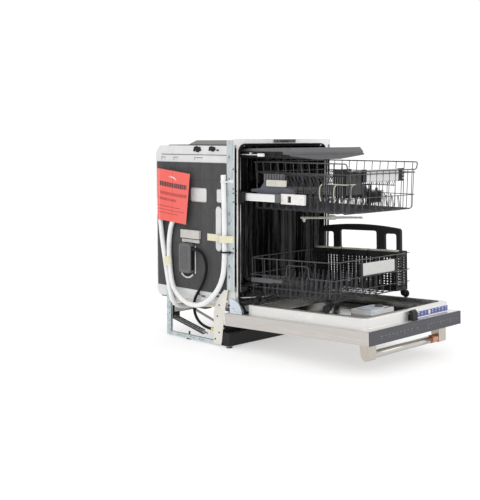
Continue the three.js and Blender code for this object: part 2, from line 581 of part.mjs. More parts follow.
function shippingTag() {
  const [x0, thick] = [-19.4, 0.9];
  const face = outline([[456, 517], [454, 738], [350, 728], [242, 716], [256, 602], [268, 503], [360, 507]]);
  return alongX(face, x0, x0 + thick);
}
piece(cabinet, 'shipping_tag', shippingTag(), TAG_PAPER);

// ---- power cord, its plug parked in the pad's pocket ----
const PLUG = { y0: 242, y1: 316, z0: 294, z1: 422, x0: -24, x1: 6.2, cordZ: 398 };
const plugShape = roundedRectangle(PLUG.y0, PLUG.y1, PLUG.z0, PLUG.z1, 15);
piece(cabinet, 'power_plug', alongX(plugShape, PLUG.x0, PLUG.x1), SLATE);
const cordRoute = [
  [10, GLAND.y1 + GAP, GLAND.z], [10, 146, 66], [9, 168, 68], [7, 190, 74], [4, 212, 86], [1, 228, 104], [-2, 237, 128],
  [-3, 239, 155], [-4, 233, 184], [-6, 215, 210], [-8, 194, 234], [-8, 176, 262], [-8, 162, 294], [-8, 156, 328],
  [-8, 162, 358], [-8, 180, 384], [-8, 212, PLUG.cordZ], [-8, PLUG.y0 - GAP, PLUG.cordZ],
];
piece(cabinet, 'power_cord', tube(cordRoute, CORD.r, CORD.sides, CORD.steps), BLACK);

// ---- origin: the middle of the footprint, cords and what hangs on them left out ----
const OFF_THE_BODY = ['drain_hose', 'shipping_tag', 'power_plug', 'power_cord'];
dishwasher.updateMatrixWorld(true);
const footprint = new THREE.Box3();
dishwasher.traverse((node) => {
  if (node.isMesh && !OFF_THE_BODY.includes(node.name)) footprint.expandByObject(node, true);
});
dishwasher.position.set(-MID, -(footprint.min.y + footprint.max.y) / 2, 0);

export default dishwasher;
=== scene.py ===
"""A built-in dishwasher standing open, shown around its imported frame. Blender 4.5."""
import math
import random
from collections import namedtuple

import bpy
from mathutils import Matrix, Vector


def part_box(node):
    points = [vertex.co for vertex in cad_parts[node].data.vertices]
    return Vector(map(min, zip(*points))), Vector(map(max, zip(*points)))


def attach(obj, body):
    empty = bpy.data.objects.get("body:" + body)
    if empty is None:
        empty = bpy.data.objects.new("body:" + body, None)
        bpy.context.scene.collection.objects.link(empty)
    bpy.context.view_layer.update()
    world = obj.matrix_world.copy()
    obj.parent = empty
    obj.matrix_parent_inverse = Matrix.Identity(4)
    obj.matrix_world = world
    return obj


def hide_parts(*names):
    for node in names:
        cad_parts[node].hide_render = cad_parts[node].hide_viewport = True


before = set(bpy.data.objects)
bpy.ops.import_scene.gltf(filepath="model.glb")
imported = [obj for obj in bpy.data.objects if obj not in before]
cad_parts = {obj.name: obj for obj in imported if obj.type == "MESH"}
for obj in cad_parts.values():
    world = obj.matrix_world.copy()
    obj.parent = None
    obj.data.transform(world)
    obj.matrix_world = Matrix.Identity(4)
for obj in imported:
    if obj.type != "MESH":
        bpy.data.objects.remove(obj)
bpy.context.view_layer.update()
random.seed(11)

# ---- coordinates ----
# Shapes are drawn in millimetres from the cabinet's left front corner on the floor: x to the right, y to the
# back, z up. What stands on the open door leans with it about the hinge line.
MM = 0.001
HINGE_Y, HINGE_Z, TILT = 15, 168, 2.2
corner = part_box("front_frame")[0]
CABINET = Matrix.Translation((corner.x, corner.y, 0)) @ Matrix.Scale(MM, 4)
hinge_line = Matrix.Translation((0, HINGE_Y, HINGE_Z))
LEANING = CABINET @ hinge_line @ Matrix.Rotation(math.radians(-TILT), 4, "X") @ hinge_line.inverted()

Span = namedtuple("Span", "x0 x1 y0 y1 z0 z1")


def span(node, space=CABINET):
    """The box of a CAD node, in the millimetres of the cabinet or of the leaning door."""
    back = space.inverted()
    points = [back @ v.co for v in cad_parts[node].data.vertices]
    low = [round(min(p[i] for p in points), 2) for i in range(3)]
    high = [round(max(p[i] for p in points), 2) for i in range(3)]
    return Span(low[0], high[0], low[1], high[1], low[2], high[2])


# ---- shapes ----
class Form:
    """Vertices and faces in millimetres, gathered from simple shapes."""

    def __init__(self):
        self.verts = []
        self.faces = []

    def put(self, verts, faces):
        start = len(self.verts)
        self.verts += [Vector(v) for v in verts]
        self.faces += [tuple(start + i for i in face) for face in faces]
        return self

    def add(self, other):
        return self.put(other.verts, other.faces)

    def box(self, x0, x1, y0, y1, z0, z1):
        verts = [(x, y, z) for z in (z0, z1) for x, y in ((x0, y0), (x1, y0), (x1, y1), (x0, y1))]
        sides = [(0, 1, 5, 4), (1, 2, 6, 5), (2, 3, 7, 6), (3, 0, 4, 7)]
        return self.put(verts, [(3, 2, 1, 0), (4, 5, 6, 7), *sides])

    def rings(self, rings, closed=False, caps=True):
        """Skins a row of rings that have the same number of points."""
        count = len(rings[0])
        faces = []
        for i in range(len(rings) if closed else len(rings) - 1):
            a, b = i * count, (i + 1) % len(rings) * count
            faces += [(a + j, a + (j + 1) % count, b + (j + 1) % count, b + j) for j in range(count)]
        if caps and not closed:
            last = (len(rings) - 1) * count
            faces += [tuple(reversed(range(count))), tuple(last + j for j in range(count))]
        return self.put([p for ring in rings for p in ring], faces)

    def prism(self, outline, low, high, axis):
        """A closed outline pushed along an axis: drawn in (y, z) for x, (x, z) for y and (x, y) for z."""
        place = {"x": lambda u, v, w: (w, u, v), "y": lambda u, v, w: (u, w, v),
                 "z": lambda u, v, w: (u, v, w)}
        area = sum(a[0] * b[1] - b[0] * a[1] for a, b in zip(outline, outline[1:] + outline[:1]))
        if (area > 0) == (axis == "y"):
            outline = outline[::-1]
        return self.rings([[place[axis](u, v, w) for u, v in outline] for w in (low, high)])

    def wire(self, points, radius, sides=8, bend=0, closed=False):
        """A round wire through the points, its corners bent to a radius."""
        path = rounded(points, bend, closed) if bend else [Vector(p) for p in points]
        return self.rings(sections(path, lambda i: radius, sides, closed), closed)

    def rod(self, start, end, radius, sides=20):
        return self.wire([start, end], radius, sides)

    def lathe(self, centre, profile, axis="z", sides=32):
        """A profile of (radius, height) turned about an axis through the centre."""
        turn = {"x": Matrix.Rotation(math.pi / 2, 3, "Y"), "y": Matrix.Rotation(-math.pi / 2, 3, "X"),
                "z": Matrix.Identity(3)}[axis]
        circle = [(math.cos(a), math.sin(a)) for a in round_angles(sides)]
        rings = [[Vector(centre) + turn @ Vector((radius * c, radius * s, height)) for c, s in circle]
                 for radius, height in profile]
        return self.rings(rings)


def round_angles(count):
    """Equal angles round a circle, in radians."""
    return [2 * math.pi * i / count for i in range(count)]


def arc(cx, cy, r, start, end, steps=6):
    """Points round a centre from one angle to another, in degrees."""
    turn = [math.radians(start + (end - start) * i / steps) for i in range(steps + 1)]
    return [(cx + r * math.cos(a), cy + r * math.sin(a)) for a in turn]


def rounded_rectangle(u0, u1, v0, v1, r, steps=6):
    """An outline between two values both ways, with its corners rounded to a radius."""
    corners = [(u1 - r, v0 + r, -90), (u1 - r, v1 - r, 0), (u0 + r, v1 - r, 90), (u0 + r, v0 + r, 180)]
    return [p for cu, cv, a in corners for p in arc(cu, cv, r, a, a + 90, steps)]


def rounded(points, bend, closed=False, steps=5):
    """The path with each corner replaced by a bend of at most that radius."""
    path = [Vector(p) for p in points]
    out = []
    for i, p in enumerate(path):
        if not closed and i in (0, len(path) - 1):
            out.append(p)
            continue
        before, after = path[i - 1] - p, path[(i + 1) % len(path)] - p
        reach = min(bend, before.length * 0.49, after.length * 0.49)
        a, b = p + before.normalized() * reach, p + after.normalized() * reach
        for k in range(steps + 1):
            t = k / steps
            out.append(a * (1 - t) ** 2 + p * 2 * t * (1 - t) + b * t * t)
    return out


def sections(path, radius_at, sides, closed=False):
    """Circles along a path, carried along it without twist."""
    count = len(path)
    tangents = []
    for i in range(count):
        before = path[i - 1] if closed or i else path[i]
        after = path[(i + 1) % count] if closed or i < count - 1 else path[i]
        tangents.append((after - before).normalized())
    side = tangents[0].orthogonal().normalized()
    rings = []
    for i, tangent in enumerate(tangents):
        side = (side - tangent * side.dot(tangent)).normalized()
        up = tangent.cross(side)
        r = radius_at(i)
        rings.append([path[i] + (side * math.cos(a) + up * math.sin(a)) * r for a in round_angles(sides)])
    if closed:
        rings = unwind(rings, path, tangents[0])
    return rings


def unwind(rings, path, tangent):
    """Spreads a closed wire's leftover twist over its length, so that its last ring meets its first."""
    first, last = rings[0][0] - path[0], rings[-1][0] - path[-1]
    last = (last - tangent * last.dot(tangent)).normalized()
    gap = math.atan2(tangent.dot(last.cross(first)), last.dot(first))
    count = len(rings)
    out = []
    for i, ring in enumerate(rings):
        axis = (ring[0] - path[i]).cross(ring[len(ring) // 4] - path[i]).normalized()
        turn = Matrix.Rotation(gap * i / count, 3, axis)
        out.append([path[i] + turn @ (p - path[i]) for p in ring])
    return out


def spread(low, high, count):
    """Evenly spaced values from one to another, both included."""
    return [low + (high - low) * i / (count - 1) for i in range(count)]


def smooth_path(points, step):
    """A centripetal Catmull-Rom curve through the points, with a point about every step."""
    p = [Vector(q) for q in points]
    p = [2 * p[0] - p[1], *p, 2 * p[-1] - p[-2]]
    out = []
    for i in range(1, len(p) - 2):
        knots = [0.0]
        for a, b in zip(p[i - 1:i + 2], p[i:i + 3]):
            knots.append(knots[-1] + (b - a).length ** 0.5)
        t0, t1, t2, t3 = knots
        pieces = max(2, round((p[i + 1] - p[i]).length / step))
        for k in range(pieces):
            t = t1 + (t2 - t1) * k / pieces
            a1 = p[i - 1].lerp(p[i], (t - t0) / (t1 - t0))
            a2 = p[i].lerp(p[i + 1], (t - t1) / (t2 - t1))
            a3 = p[i + 1].lerp(p[i + 2], (t - t2) / (t3 - t2))
            b1, b2 = a1.lerp(a2, (t - t0) / (t2 - t0)), a2.lerp(a3, (t - t1) / (t3 - t1))
            out.append(b1.lerp(b2, (t - t1) / (t2 - t1)))
    return [*out, p[-2]]


def mirrored(form):
    """The same shape on the cabinet's right-hand side."""
    return Form().put([(WIDTH - v.x, v.y, v.z) for v in form.verts], [face[::-1] for face in form.faces])


def doubled(form):
    """The shape with its mirror image, as one."""
    return form.add(mirrored(form))


def make_mesh(name, form, space):
    """A mesh of the form, taken from its own space into the frame."""
    mesh = bpy.data.meshes.new(name)
    mesh.from_pydata([space @ v for v in form.verts], [], form.faces)
    mesh.validate()
    return mesh


def carve(piece, holes, space):
    """Cuts the holes' solids out of the piece."""
    cutter = bpy.data.objects.new("cutter", make_mesh("cutter", holes, space))
    bpy.context.scene.collection.objects.link(cutter)
    cutting = piece.modifiers.new("holes", "BOOLEAN")
    cutting.object = cutter
    cutting.solver = "EXACT"
    cutting.use_self = True
    whole = piece.data
    piece.data = bpy.data.meshes.new_from_object(piece.evaluated_get(bpy.context.evaluated_depsgraph_get()))
    piece.data.name = piece.name
    piece.modifiers.clear()
    bpy.data.meshes.remove(whole)
    bpy.data.meshes.remove(cutter.data)


def show(name, form, material, body, slot, space=CABINET, replaces=(), bevel=0.0, sharp=35, holes=None):
    """Makes the form one piece of the object, riding on a body."""
    piece = bpy.data.objects.new(name, make_mesh(name, form, space))
    bpy.context.scene.collection.objects.link(piece)
    if holes:
        carve(piece, holes, space)
    piece.data.materials.clear()
    piece.data.materials.append(material)
    piece.data.shade_smooth()
    if bevel:
        soften(piece, bevel)
    else:
        piece.data.set_sharp_from_angle(angle=math.radians(sharp))
    if replaces:
        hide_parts(*replaces)
    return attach(piece, body)


def show_pair(name, form, material, body, slot, holes=None, replaces=(), **options):
    """Makes the form a left piece and its mirror image a right one. Replaced nodes are given by stem."""
    sides = (("left", form, holes), ("right", mirrored(form), mirrored(holes) if holes else None))
    for side, shape, cut in sides:
        nodes = [f"{stem}_{side}" for stem in replaces]
        show(f"{name}_{side}", shape, material, body, slot, holes=cut, replaces=nodes, **options)


def soften(piece, width, segments=2):
    """Rounds the piece's edges by a width in millimetres."""
    rounding = piece.modifiers.new("edges", "BEVEL")
    rounding.width = width * MM
    rounding.segments = segments
    rounding.limit_method = "ANGLE"
    rounding.angle_limit = math.radians(30)
    rounding.harden_normals = True


def dress(node, material, bevel=0.0, sharp=30):
    """Gives a CAD node its material, and rounds its edges."""
    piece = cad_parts[node]
    piece.data.materials.clear()
    piece.data.materials.append(material)
    piece.data.shade_smooth()
    piece.data.set_sharp_from_angle(angle=math.radians(sharp))
    if bevel:
        soften(piece, bevel)
    return piece


# ---- materials ----
class Surface:
    """A procedural material under construction. Scales are in features per metre."""

    def __init__(self, name, color, roughness, metallic=0.0, coat=0.0, specular=0.5):
        self.material = bpy.data.materials.new(name)
        self.material.use_nodes = True
        self.material.diffuse_color = (*color, 1)
        self.tree = self.material.node_tree
        self.shader = self.tree.nodes["Principled BSDF"]
        self.color = color
        self.shader.inputs["Base Color"].default_value = (*color, 1)
        self.shader.inputs["Roughness"].default_value = roughness
        self.shader.inputs["Metallic"].default_value = metallic
        self.shader.inputs["Coat Weight"].default_value = coat
        self.shader.inputs["Specular IOR Level"].default_value = specular
        self.place = self.tree.nodes.new("ShaderNodeTexCoord").outputs["Object"]
        self.heights = []

    def stretch(self, scale, turn=(0, 0, 0)):
        mapping = self.tree.nodes.new("ShaderNodeMapping")
        mapping.inputs["Scale"].default_value = scale
        mapping.inputs["Rotation"].default_value = turn
        self.tree.links.new(self.place, mapping.inputs["Vector"])
        return mapping.outputs["Vector"]

    def noise(self, scale, detail=3.0, rough=0.55, stretched=None):
        node = self.tree.nodes.new("ShaderNodeTexNoise")
        node.inputs["Scale"].default_value = scale
        node.inputs["Detail"].default_value = detail
        node.inputs["Roughness"].default_value = rough
        self.tree.links.new(self.stretch(stretched) if stretched else self.place, node.inputs["Vector"])
        return node.outputs["Fac"]

    def cells(self, scale, feature="F1", stretched=None):
        node = self.tree.nodes.new("ShaderNodeTexVoronoi")
        node.feature = feature
        node.inputs["Scale"].default_value = scale
        self.tree.links.new(self.stretch(stretched) if stretched else self.place, node.inputs["Vector"])
        return node

    def remap(self, value, low, high, from_low=0.3, from_high=0.7):
        """Spreads a value from one range over another, without going past its ends."""
        node = self.tree.nodes.new("ShaderNodeMapRange")
        for key, number in zip(("From Min", "From Max", "To Min", "To Max"),
                               (from_low, from_high, low, high)):
            node.inputs[key].default_value = number
        self.tree.links.new(value, node.inputs["Value"])
        return node.outputs["Result"]

    def times(self, a, b, operation="MULTIPLY"):
        node = self.tree.nodes.new("ShaderNodeMath")
        node.operation = operation
        for value, socket in zip((a, b), node.inputs):
            if isinstance(value, (int, float)):
                socket.default_value = value
            else:
                self.tree.links.new(value, socket)
        return node.outputs["Value"]

    def tint(self, value, other):
        """Mixes the colour so far towards another colour by a value from 0 to 1."""
        node = self.tree.nodes.new("ShaderNodeMix")
        node.data_type = "RGBA"
        self.tree.links.new(value, node.inputs[0])
        base = self.shader.inputs["Base Color"]
        if base.is_linked:
            self.tree.links.new(base.links[0].from_socket, node.inputs[6])
        else:
            node.inputs[6].default_value = base.default_value
        node.inputs[7].default_value = (*other, 1)
        self.tree.links.new(node.outputs[2], base)
        return self

    def shade(self, value, depth):
        """Darkens and lightens the colour by a share of itself."""
        low = tuple(c * (1 - depth) for c in self.color)
        return self.tint(self.remap(value, 1.0, 0.0), low)

    def rough(self, value, low, high):
        """Varies the roughness with a value."""
        self.tree.links.new(self.remap(value, low, high), self.shader.inputs["Roughness"])
        return self

    def bump(self, value, depth, distance=0.001):
        """Raises the surface by a value, on top of what is there already."""
        node = self.tree.nodes.new("ShaderNodeBump")
        node.inputs["Strength"].default_value = depth
        node.inputs["Distance"].default_value = distance
        self.tree.links.new(value, node.inputs["Height"])
        socket = self.shader.inputs["Normal"]
        if socket.is_linked:
            self.tree.links.new(socket.links[0].from_socket, node.inputs["Normal"])
        self.tree.links.new(node.outputs["Normal"], socket)
        return self

    def wear(self, other, amount=0.5):
        """Lightens the edges a little, where hands and cartons rub."""
        geometry = self.tree.nodes.new("ShaderNodeNewGeometry")
        edge = self.remap(geometry.outputs["Pointiness"], 0.0, amount, 0.52, 0.62)
        return self.tint(self.times(edge, self.noise(60)), other)


def brushed(name, color, roughness, along="x", depth=0.16, metallic=1.0, coat=0.0):
    """Metal with long fine brush lines along one axis."""
    surface = Surface(name, color, roughness, metallic, coat)
    fine = {"x": (12, 900, 900), "y": (900, 12, 900), "z": (900, 900, 12)}[along]
    broad = {"x": (2, 90, 90), "y": (90, 2, 90), "z": (90, 90, 2)}[along]
    lines = surface.noise(1.0, 2.0, 0.6, fine)
    clouds = surface.noise(1.0, 3.0, 0.5, broad)
    surface.shade(lines, depth).tint(surface.remap(clouds, 0.0, 0.35), tuple(c * 0.82 for c in color))
    surface.rough(clouds, roughness * 0.8, roughness * 1.25)
    return surface.bump(lines, 0.05, 0.0004).material


def moulded(name, color, roughness, grain=900, wear=None, coat=0.0, depth=0.12, specular=0.5):
    """Moulded plastic with a fine spark-eroded grain and faint flow marks."""
    surface = Surface(name, color, roughness, 0.0, coat, specular)
    surface.shade(surface.noise(35, 4.0), depth)
    surface.rough(surface.noise(90, 3.0), roughness * 0.85, min(1.0, roughness * 1.2))
    surface.bump(surface.noise(grain, 2.0), 0.12, 0.0004)
    if wear:
        surface.wear(wear)
    return surface.material


def galvanised():
    """Zinc-coated sheet: pale blue-grey, with a soft spangle of crystals."""
    surface = Surface("galvanised", (0.49, 0.555, 0.57), 0.45, 0.6)
    spangle = surface.cells(95, stretched=(1, 1, 0.45)).outputs["Color"]
    surface.shade(spangle, 0.2)
    surface.tint(surface.remap(surface.noise(14, 3.0), 0.0, 0.45), (0.68, 0.73, 0.74))
    surface.rough(surface.noise(60, 2.0), 0.32, 0.52)
    return surface.bump(surface.noise(700, 2.0), 0.05, 0.0003).material


def bitumen():
    """Sound-deadening sheet: matt, dark grey, with a faint pressed grid and mottling."""
    surface = Surface("bitumen", (0.082, 0.082, 0.084), 0.86, specular=0.3)
    surface.shade(surface.noise(26, 4.0), 0.22)
    surface.tint(surface.remap(surface.noise(1.0, 2.0, 0.5, (5, 26, 3)), 0.0, 0.35), (0.06, 0.06, 0.062))
    surface.rough(surface.noise(120), 0.8, 0.95)
    surface.bump(surface.noise(420, 4.0, 0.7), 0.35, 0.0006)
    return surface.bump(surface.noise(9, 2.0), 0.25, 0.004).material


def fibre(name, color, scale=500, depth=0.35):
    """Matted fibres: felt, fleece and pressed wool."""
    surface = Surface(name, color, 0.95, specular=0.15)
    strands = surface.noise(1.0, 4.0, 0.7, (scale, scale * 0.22, scale))
    surface.shade(strands, depth)
    surface.tint(surface.remap(surface.noise(40, 3.0), 0.0, 0.4), tuple(c * 0.7 for c in color))
    return surface.bump(strands, 0.6, 0.0012).material


def coated_wire():
    """Nylon-dipped steel wire: satin, near-black, with a slight orange peel."""
    surface = Surface("coated_wire", (0.06, 0.06, 0.066), 0.3, specular=0.5)
    surface.shade(surface.noise(50, 3.0), 0.3)
    surface.rough(surface.noise(160), 0.26, 0.46)
    return surface.bump(surface.noise(800, 2.0), 0.1, 0.0003).material


def painted(name, color, roughness, peel=450, metallic=0.0, coat=0.15, specular=0.5):
    """A painted or enamelled surface with a slight orange peel."""
    surface = Surface(name, color, roughness, metallic, coat, specular)
    surface.shade(surface.noise(18, 3.0), 0.1)
    surface.rough(surface.noise(70), roughness * 0.85, roughness * 1.2)
    return surface.bump(surface.noise(peel, 2.0), 0.08, 0.0004).material


def hose_plastic():
    """Milky polypropylene that lets a little light through."""
    surface = Surface("hose_plastic", (0.86, 0.86, 0.87), 0.38, specular=0.5)
    surface.shade(surface.noise(30, 3.0), 0.08)
    surface.shader.inputs["Subsurface Weight"].default_value = 0.6
    surface.shader.inputs["Subsurface Radius"].default_value = (0.012, 0.012, 0.013)
    surface.rough(surface.noise(150), 0.3, 0.48)
    return surface.bump(surface.noise(500), 0.1, 0.0004).material


def card(name, color, dark):
    """Coated card with paper fibres and soft handling creases."""
    surface = Surface(name, color, 0.62, specular=0.35)
    surface.tint(surface.remap(surface.noise(1.0, 3.0, 0.6, (10, 9, 2.2)), 0.0, 0.55), dark)
    surface.shade(surface.noise(260, 4.0), 0.1)
    surface.bump(surface.noise(1.0, 2.0, 0.5, (8, 16, 5)), 0.4, 0.003)
    return surface.bump(surface.noise(600, 3.0), 0.15, 0.0003).material


def tub_metal(name, color, roughness, depth):
    """Drawn stainless sheet with painted light: near-black painted shade over most of it, pale vertical
    streaks left between as painted reflections, and a few warm painted glints.
    """
    surface = Surface(name, color, roughness, 0.45)
    lines = surface.noise(1.0, 2.0, 0.6, (500, 500, 9))
    painted_shade_streaks = surface.noise(1.0, 4.0, 0.75, (34, 34, 1.1))
    painted_glints = surface.noise(1.0, 3.0, 0.7, (40, 40, 14))
    surface.shade(lines, depth)
    # Painted shade: near-black where the streak noise is low; the pale streaks left between stand for
    # reflections.
    surface.tint(surface.remap(painted_shade_streaks, 1.0, 0.0, 0.47, 0.66), (0.022, 0.022, 0.023))
    # Painted glints: warm reflections dotted over the sheet.
    surface.tint(surface.remap(painted_glints, 0.0, 0.5, 0.66, 0.74), (0.34, 0.24, 0.14))
    surface.rough(painted_shade_streaks, roughness * 0.7, roughness * 1.4)
    surface.bump(surface.noise(1.0, 2.0, 0.5, (16, 16, 1.5)), 0.35, 0.006)
    return surface.bump(lines, 0.05, 0.0003).material


STEEL_Y = brushed("stainless_y", (0.62, 0.59, 0.56), 0.32, "y")
TUB_OUT = painted("tub_primer", (0.70, 0.705, 0.70), 0.5, peel=300, metallic=0.1)
TUB_IN = tub_metal("tub_inside", (0.62, 0.61, 0.60), 0.26, depth=0.3)
GALVANISED = galvanised()
BITUMEN = bitumen()
FELT = fibre("felt", (0.29, 0.28, 0.265))
INSULATION = fibre("insulation", (0.78, 0.73, 0.65), scale=200, depth=0.4)
BLACK = moulded("black_plastic", (0.012, 0.012, 0.013), 0.42, wear=(0.05, 0.05, 0.05), specular=0.2)
BLACK_STEEL = painted("black_steel", (0.012, 0.012, 0.013), 0.38, coat=0.0, specular=0.25)
RUBBER = moulded("rubber", (0.009, 0.009, 0.01), 0.62, grain=500, specular=0.14)
GREY = moulded("grey_plastic", (0.105, 0.106, 0.112), 0.45, wear=(0.2, 0.2, 0.2))
SLATE = moulded("slate_plastic", (0.12, 0.122, 0.132), 0.5)
PALE = moulded("pale_plastic", (0.62, 0.61, 0.585), 0.5)
WHITE = moulded("white_plastic", (0.80, 0.79, 0.77), 0.42)
BEIGE = moulded("beige_plastic", (0.50, 0.47, 0.40), 0.48)
CONTROL = brushed("control_slate", (0.072, 0.072, 0.083), 0.4, "x", depth=0.14, metallic=0.3)
CREAM = painted("cream_paint", (0.72, 0.70, 0.64), 0.45)
WIRE = coated_wire()
HOSE = hose_plastic()
ALUMINIUM = brushed("aluminium", (0.82, 0.815, 0.80), 0.30, "y", depth=0.1)
BRACKET = brushed("bracket_metal", (0.56, 0.52, 0.46), 0.36, "z", depth=0.12)
COPPER = brushed("copper", (0.62, 0.30, 0.19), 0.28, "x")
TAG = card("tag_card", (0.86, 0.16, 0.13), dark=(0.78, 0.07, 0.07))
INK = painted("ink", (0.10, 0.03, 0.035), 0.7)
MOTOR = painted("motor_enamel", (0.02, 0.02, 0.022), 0.5)
FOAM = fibre("foam", (0.62, 0.60, 0.57), scale=380, depth=0.12)


def tape():
    """Yellowish strapping tape, glossy, with fine threads along it."""
    surface = Surface("tape", (0.76, 0.73, 0.52), 0.32, coat=0.3)
    surface.shade(surface.noise(1.0, 2.0, 0.5, (60, 12, 500)), 0.14)
    return surface.bump(surface.noise(60, 3.0), 0.3, 0.001).material


TAPE = tape()


# ---- camera, light and floor ----
def add_camera():
    """The camera stands off the left front corner, a little above the racks, and looks slightly down."""
    data = bpy.data.cameras.new("camera")
    data.lens = 67.449
    data.sensor_width = 36
    data.clip_end = 50
    camera = bpy.data.objects.new("camera", data)
    camera.location = (-2.96446, -2.59259, 0.87129)
    camera.rotation_euler = (math.radians(90 - 6.884), 0, math.radians(-45.11))
    bpy.context.scene.collection.objects.link(camera)
    bpy.context.scene.camera = camera


def add_light(name, place, aim, size, power, color=(1, 1, 1)):
    data = bpy.data.lights.new(name, "AREA")
    data.shape = "RECTANGLE"
    data.size, data.size_y = size
    data.energy = power
    data.color = color
    light = bpy.data.objects.new(name, data)
    light.location = place
    light.rotation_euler = (Vector(aim) - Vector(place)).to_track_quat("-Z", "Y").to_euler()
    bpy.context.scene.collection.objects.link(light)


def add_studio():
    """White surroundings, two soft lights and a bright paper floor."""
    world = bpy.data.worlds.new("studio")
    world.use_nodes = True
    background = world.node_tree.nodes["Background"]
    background.inputs["Color"].default_value = (1, 1, 1, 1)
    background.inputs["Strength"].default_value = 1.06
    bpy.context.scene.world = world
    add_light("key", (-2.6, -1.4, 2.6), (0, 0, 0.5), (2.2, 1.6), 16)
    add_light("fill", (1.8, -3.0, 1.8), (0, -0.3, 0.4), (2.0, 2.0), 10)
    bpy.context.scene.view_settings.view_transform = "Standard"
    bpy.context.scene.view_settings.look = "None"
    mesh = bpy.data.meshes.new("floor")
    reach = 14
    mesh.from_pydata([(-reach, -reach, 0), (reach, -reach, 0), (reach, reach, 0), (-reach, reach, 0)], [],
                     [(0, 1, 2, 3)])
    paper = Surface("backdrop_paper", (0.58, 0.58, 0.58), 0.95, specular=0.0)
    paper.shade(paper.noise(1.5, 2.0), 0.006)
    paper.shader.inputs["Emission Color"].default_value = (1, 1, 1, 1)
    paper.shader.inputs["Emission Strength"].default_value = 0.46
    mesh.materials.append(paper.material)
    floor = bpy.data.objects.new("floor", mesh)
    floor.location.z = -0.0005
    bpy.context.scene.collection.objects.link(floor)


add_camera()
add_studio()

# ---- what the frame gives ----
FACE = span("front_frame")
TUB = span("tub_shell")
PAD = span("side_pad_left")
WIDTH = FACE.x1
MID = WIDTH / 2


# ---- drain hose and power cord ----
# Their routes are points in metres from the cabinet's corner, as in the CAD source.
hose_route = [
    (0.142, 0.378, 0.128), (0.120, 0.378, 0.128), (0.090, 0.378, 0.128), (0.058, 0.378, 0.128),
    (0.025, 0.379, 0.1368), (0.0008, 0.381, 0.161), (-0.008, 0.387, 0.197), (-0.008, 0.398, 0.238),
    (-0.008, 0.412, 0.300), (-0.008, 0.425, 0.365), (-0.008, 0.438, 0.430), (-0.008, 0.449, 0.510),
    (-0.008, 0.454, 0.572), (-0.008, 0.446, 0.635), (-0.008, 0.416, 0.685), (-0.008, 0.369, 0.702),
    (-0.008, 0.325, 0.683), (-0.008, 0.302, 0.642), (-0.008, 0.304, 0.592), (-0.008, 0.332, 0.546),
    (-0.008, 0.372, 0.502), (-0.008, 0.388, 0.450), (-0.008, 0.394, 0.395), (-0.008, 0.391, 0.340),
    (-0.010, 0.382, 0.283), (-0.015, 0.362, 0.232), (-0.018, 0.325, 0.195), (-0.020, 0.276, 0.170),
    (-0.020, 0.222, 0.162), (-0.020, 0.166, 0.174), (-0.018, 0.115, 0.207), (-0.014, 0.076, 0.252),
    (-0.010, 0.055, 0.305), (-0.008, 0.048, 0.370), (-0.008, 0.047, 0.450), (-0.008, 0.048, 0.540),
    (-0.008, 0.050, 0.630), (-0.008, 0.053, 0.718),
]
cord_route = [
    (0.010, 0.1273, 0.066), (0.010, 0.146, 0.066), (0.009, 0.168, 0.068), (0.007, 0.190, 0.074),
    (0.004, 0.212, 0.086), (0.001, 0.228, 0.104), (-0.002, 0.237, 0.128), (-0.003, 0.239, 0.155),
    (-0.004, 0.233, 0.184), (-0.006, 0.215, 0.210), (-0.008, 0.194, 0.234), (-0.008, 0.176, 0.262),
    (-0.008, 0.162, 0.294), (-0.008, 0.156, 0.328), (-0.008, 0.162, 0.358), (-0.008, 0.180, 0.384),
    (-0.008, 0.212, 0.398), (-0.008, 0.2417, 0.398),
]


def flexible(route, radius, ridge=0.0, pitch=6.0, smooth=(0, 0)):
    """A round tube along a route, ribbed a pitch apart between its smooth ends, and the tube's length."""
    path = smooth_path([Vector(p) * 1000 for p in route], pitch / 3 if ridge else 5)
    along, travelled = [], 0.0
    for before, after in zip([path[0], *path], path):
        travelled += (after - before).length
        along.append(travelled)

    def radius_at(i):
        ribbed = smooth[0] < along[i] < travelled - smooth[1]
        wave = 0.5 - 0.5 * math.cos(2 * math.pi * along[i] / pitch)
        return radius - (ridge * wave if ribbed else ridge * 0.3)
    return Form().rings(sections(path, radius_at, 14)), travelled * MM


hose_form, hose_length = flexible(hose_route, radius=11.2, ridge=1.0, pitch=6.0, smooth=(30, 60))
hose = show("drain_hose_tube", hose_form, HOSE, "cabinet", "hose_white", replaces=["drain_hose"], sharp=80)
cord_form, cord_length = flexible(cord_route, radius=6)
cord = show("power_cord_jacket", cord_form, RUBBER, "cabinet", "rubber", replaces=["power_cord"], sharp=80)


# ---- tub ----
BACK_ROUND, SIDE_ROUND = 36, 18
SIDE_SHARE = 0.16  # the back corners turn in less at the sides than at the top and bottom
SHEET = 0.6


def tub_rings(inset, front):
    """Rings of the tub's wall from its mouth to its back, where the corners turn in."""
    rings = [(y, inset) for y in (front, 30, 120, 240, 360)]
    for step in range(7):
        a = math.radians(90 * step / 6)
        turn_in = (BACK_ROUND - inset) * (1 - math.cos(a))
        rings.append((TUB.y1 - BACK_ROUND + (BACK_ROUND - inset) * math.sin(a), inset + turn_in))
    out = []
    for y, d in rings:
        r = max(2.0, SIDE_ROUND - d * 0.3)
        side = inset + (d - inset) * SIDE_SHARE
        outline = rounded_rectangle(TUB.x0 + side, TUB.x1 - side, TUB.z0 + d, TUB.z1 - d, r, 5)
        out.append([(x, y, z) for x, z in outline])
    return out


def tub_wall(outside, inside, front):
    """The tub's sheet between two insets, open at the front."""
    return Form().rings(tub_rings(outside, front)[::-1] + tub_rings(inside, front))


SUMP = span("sump_housing")


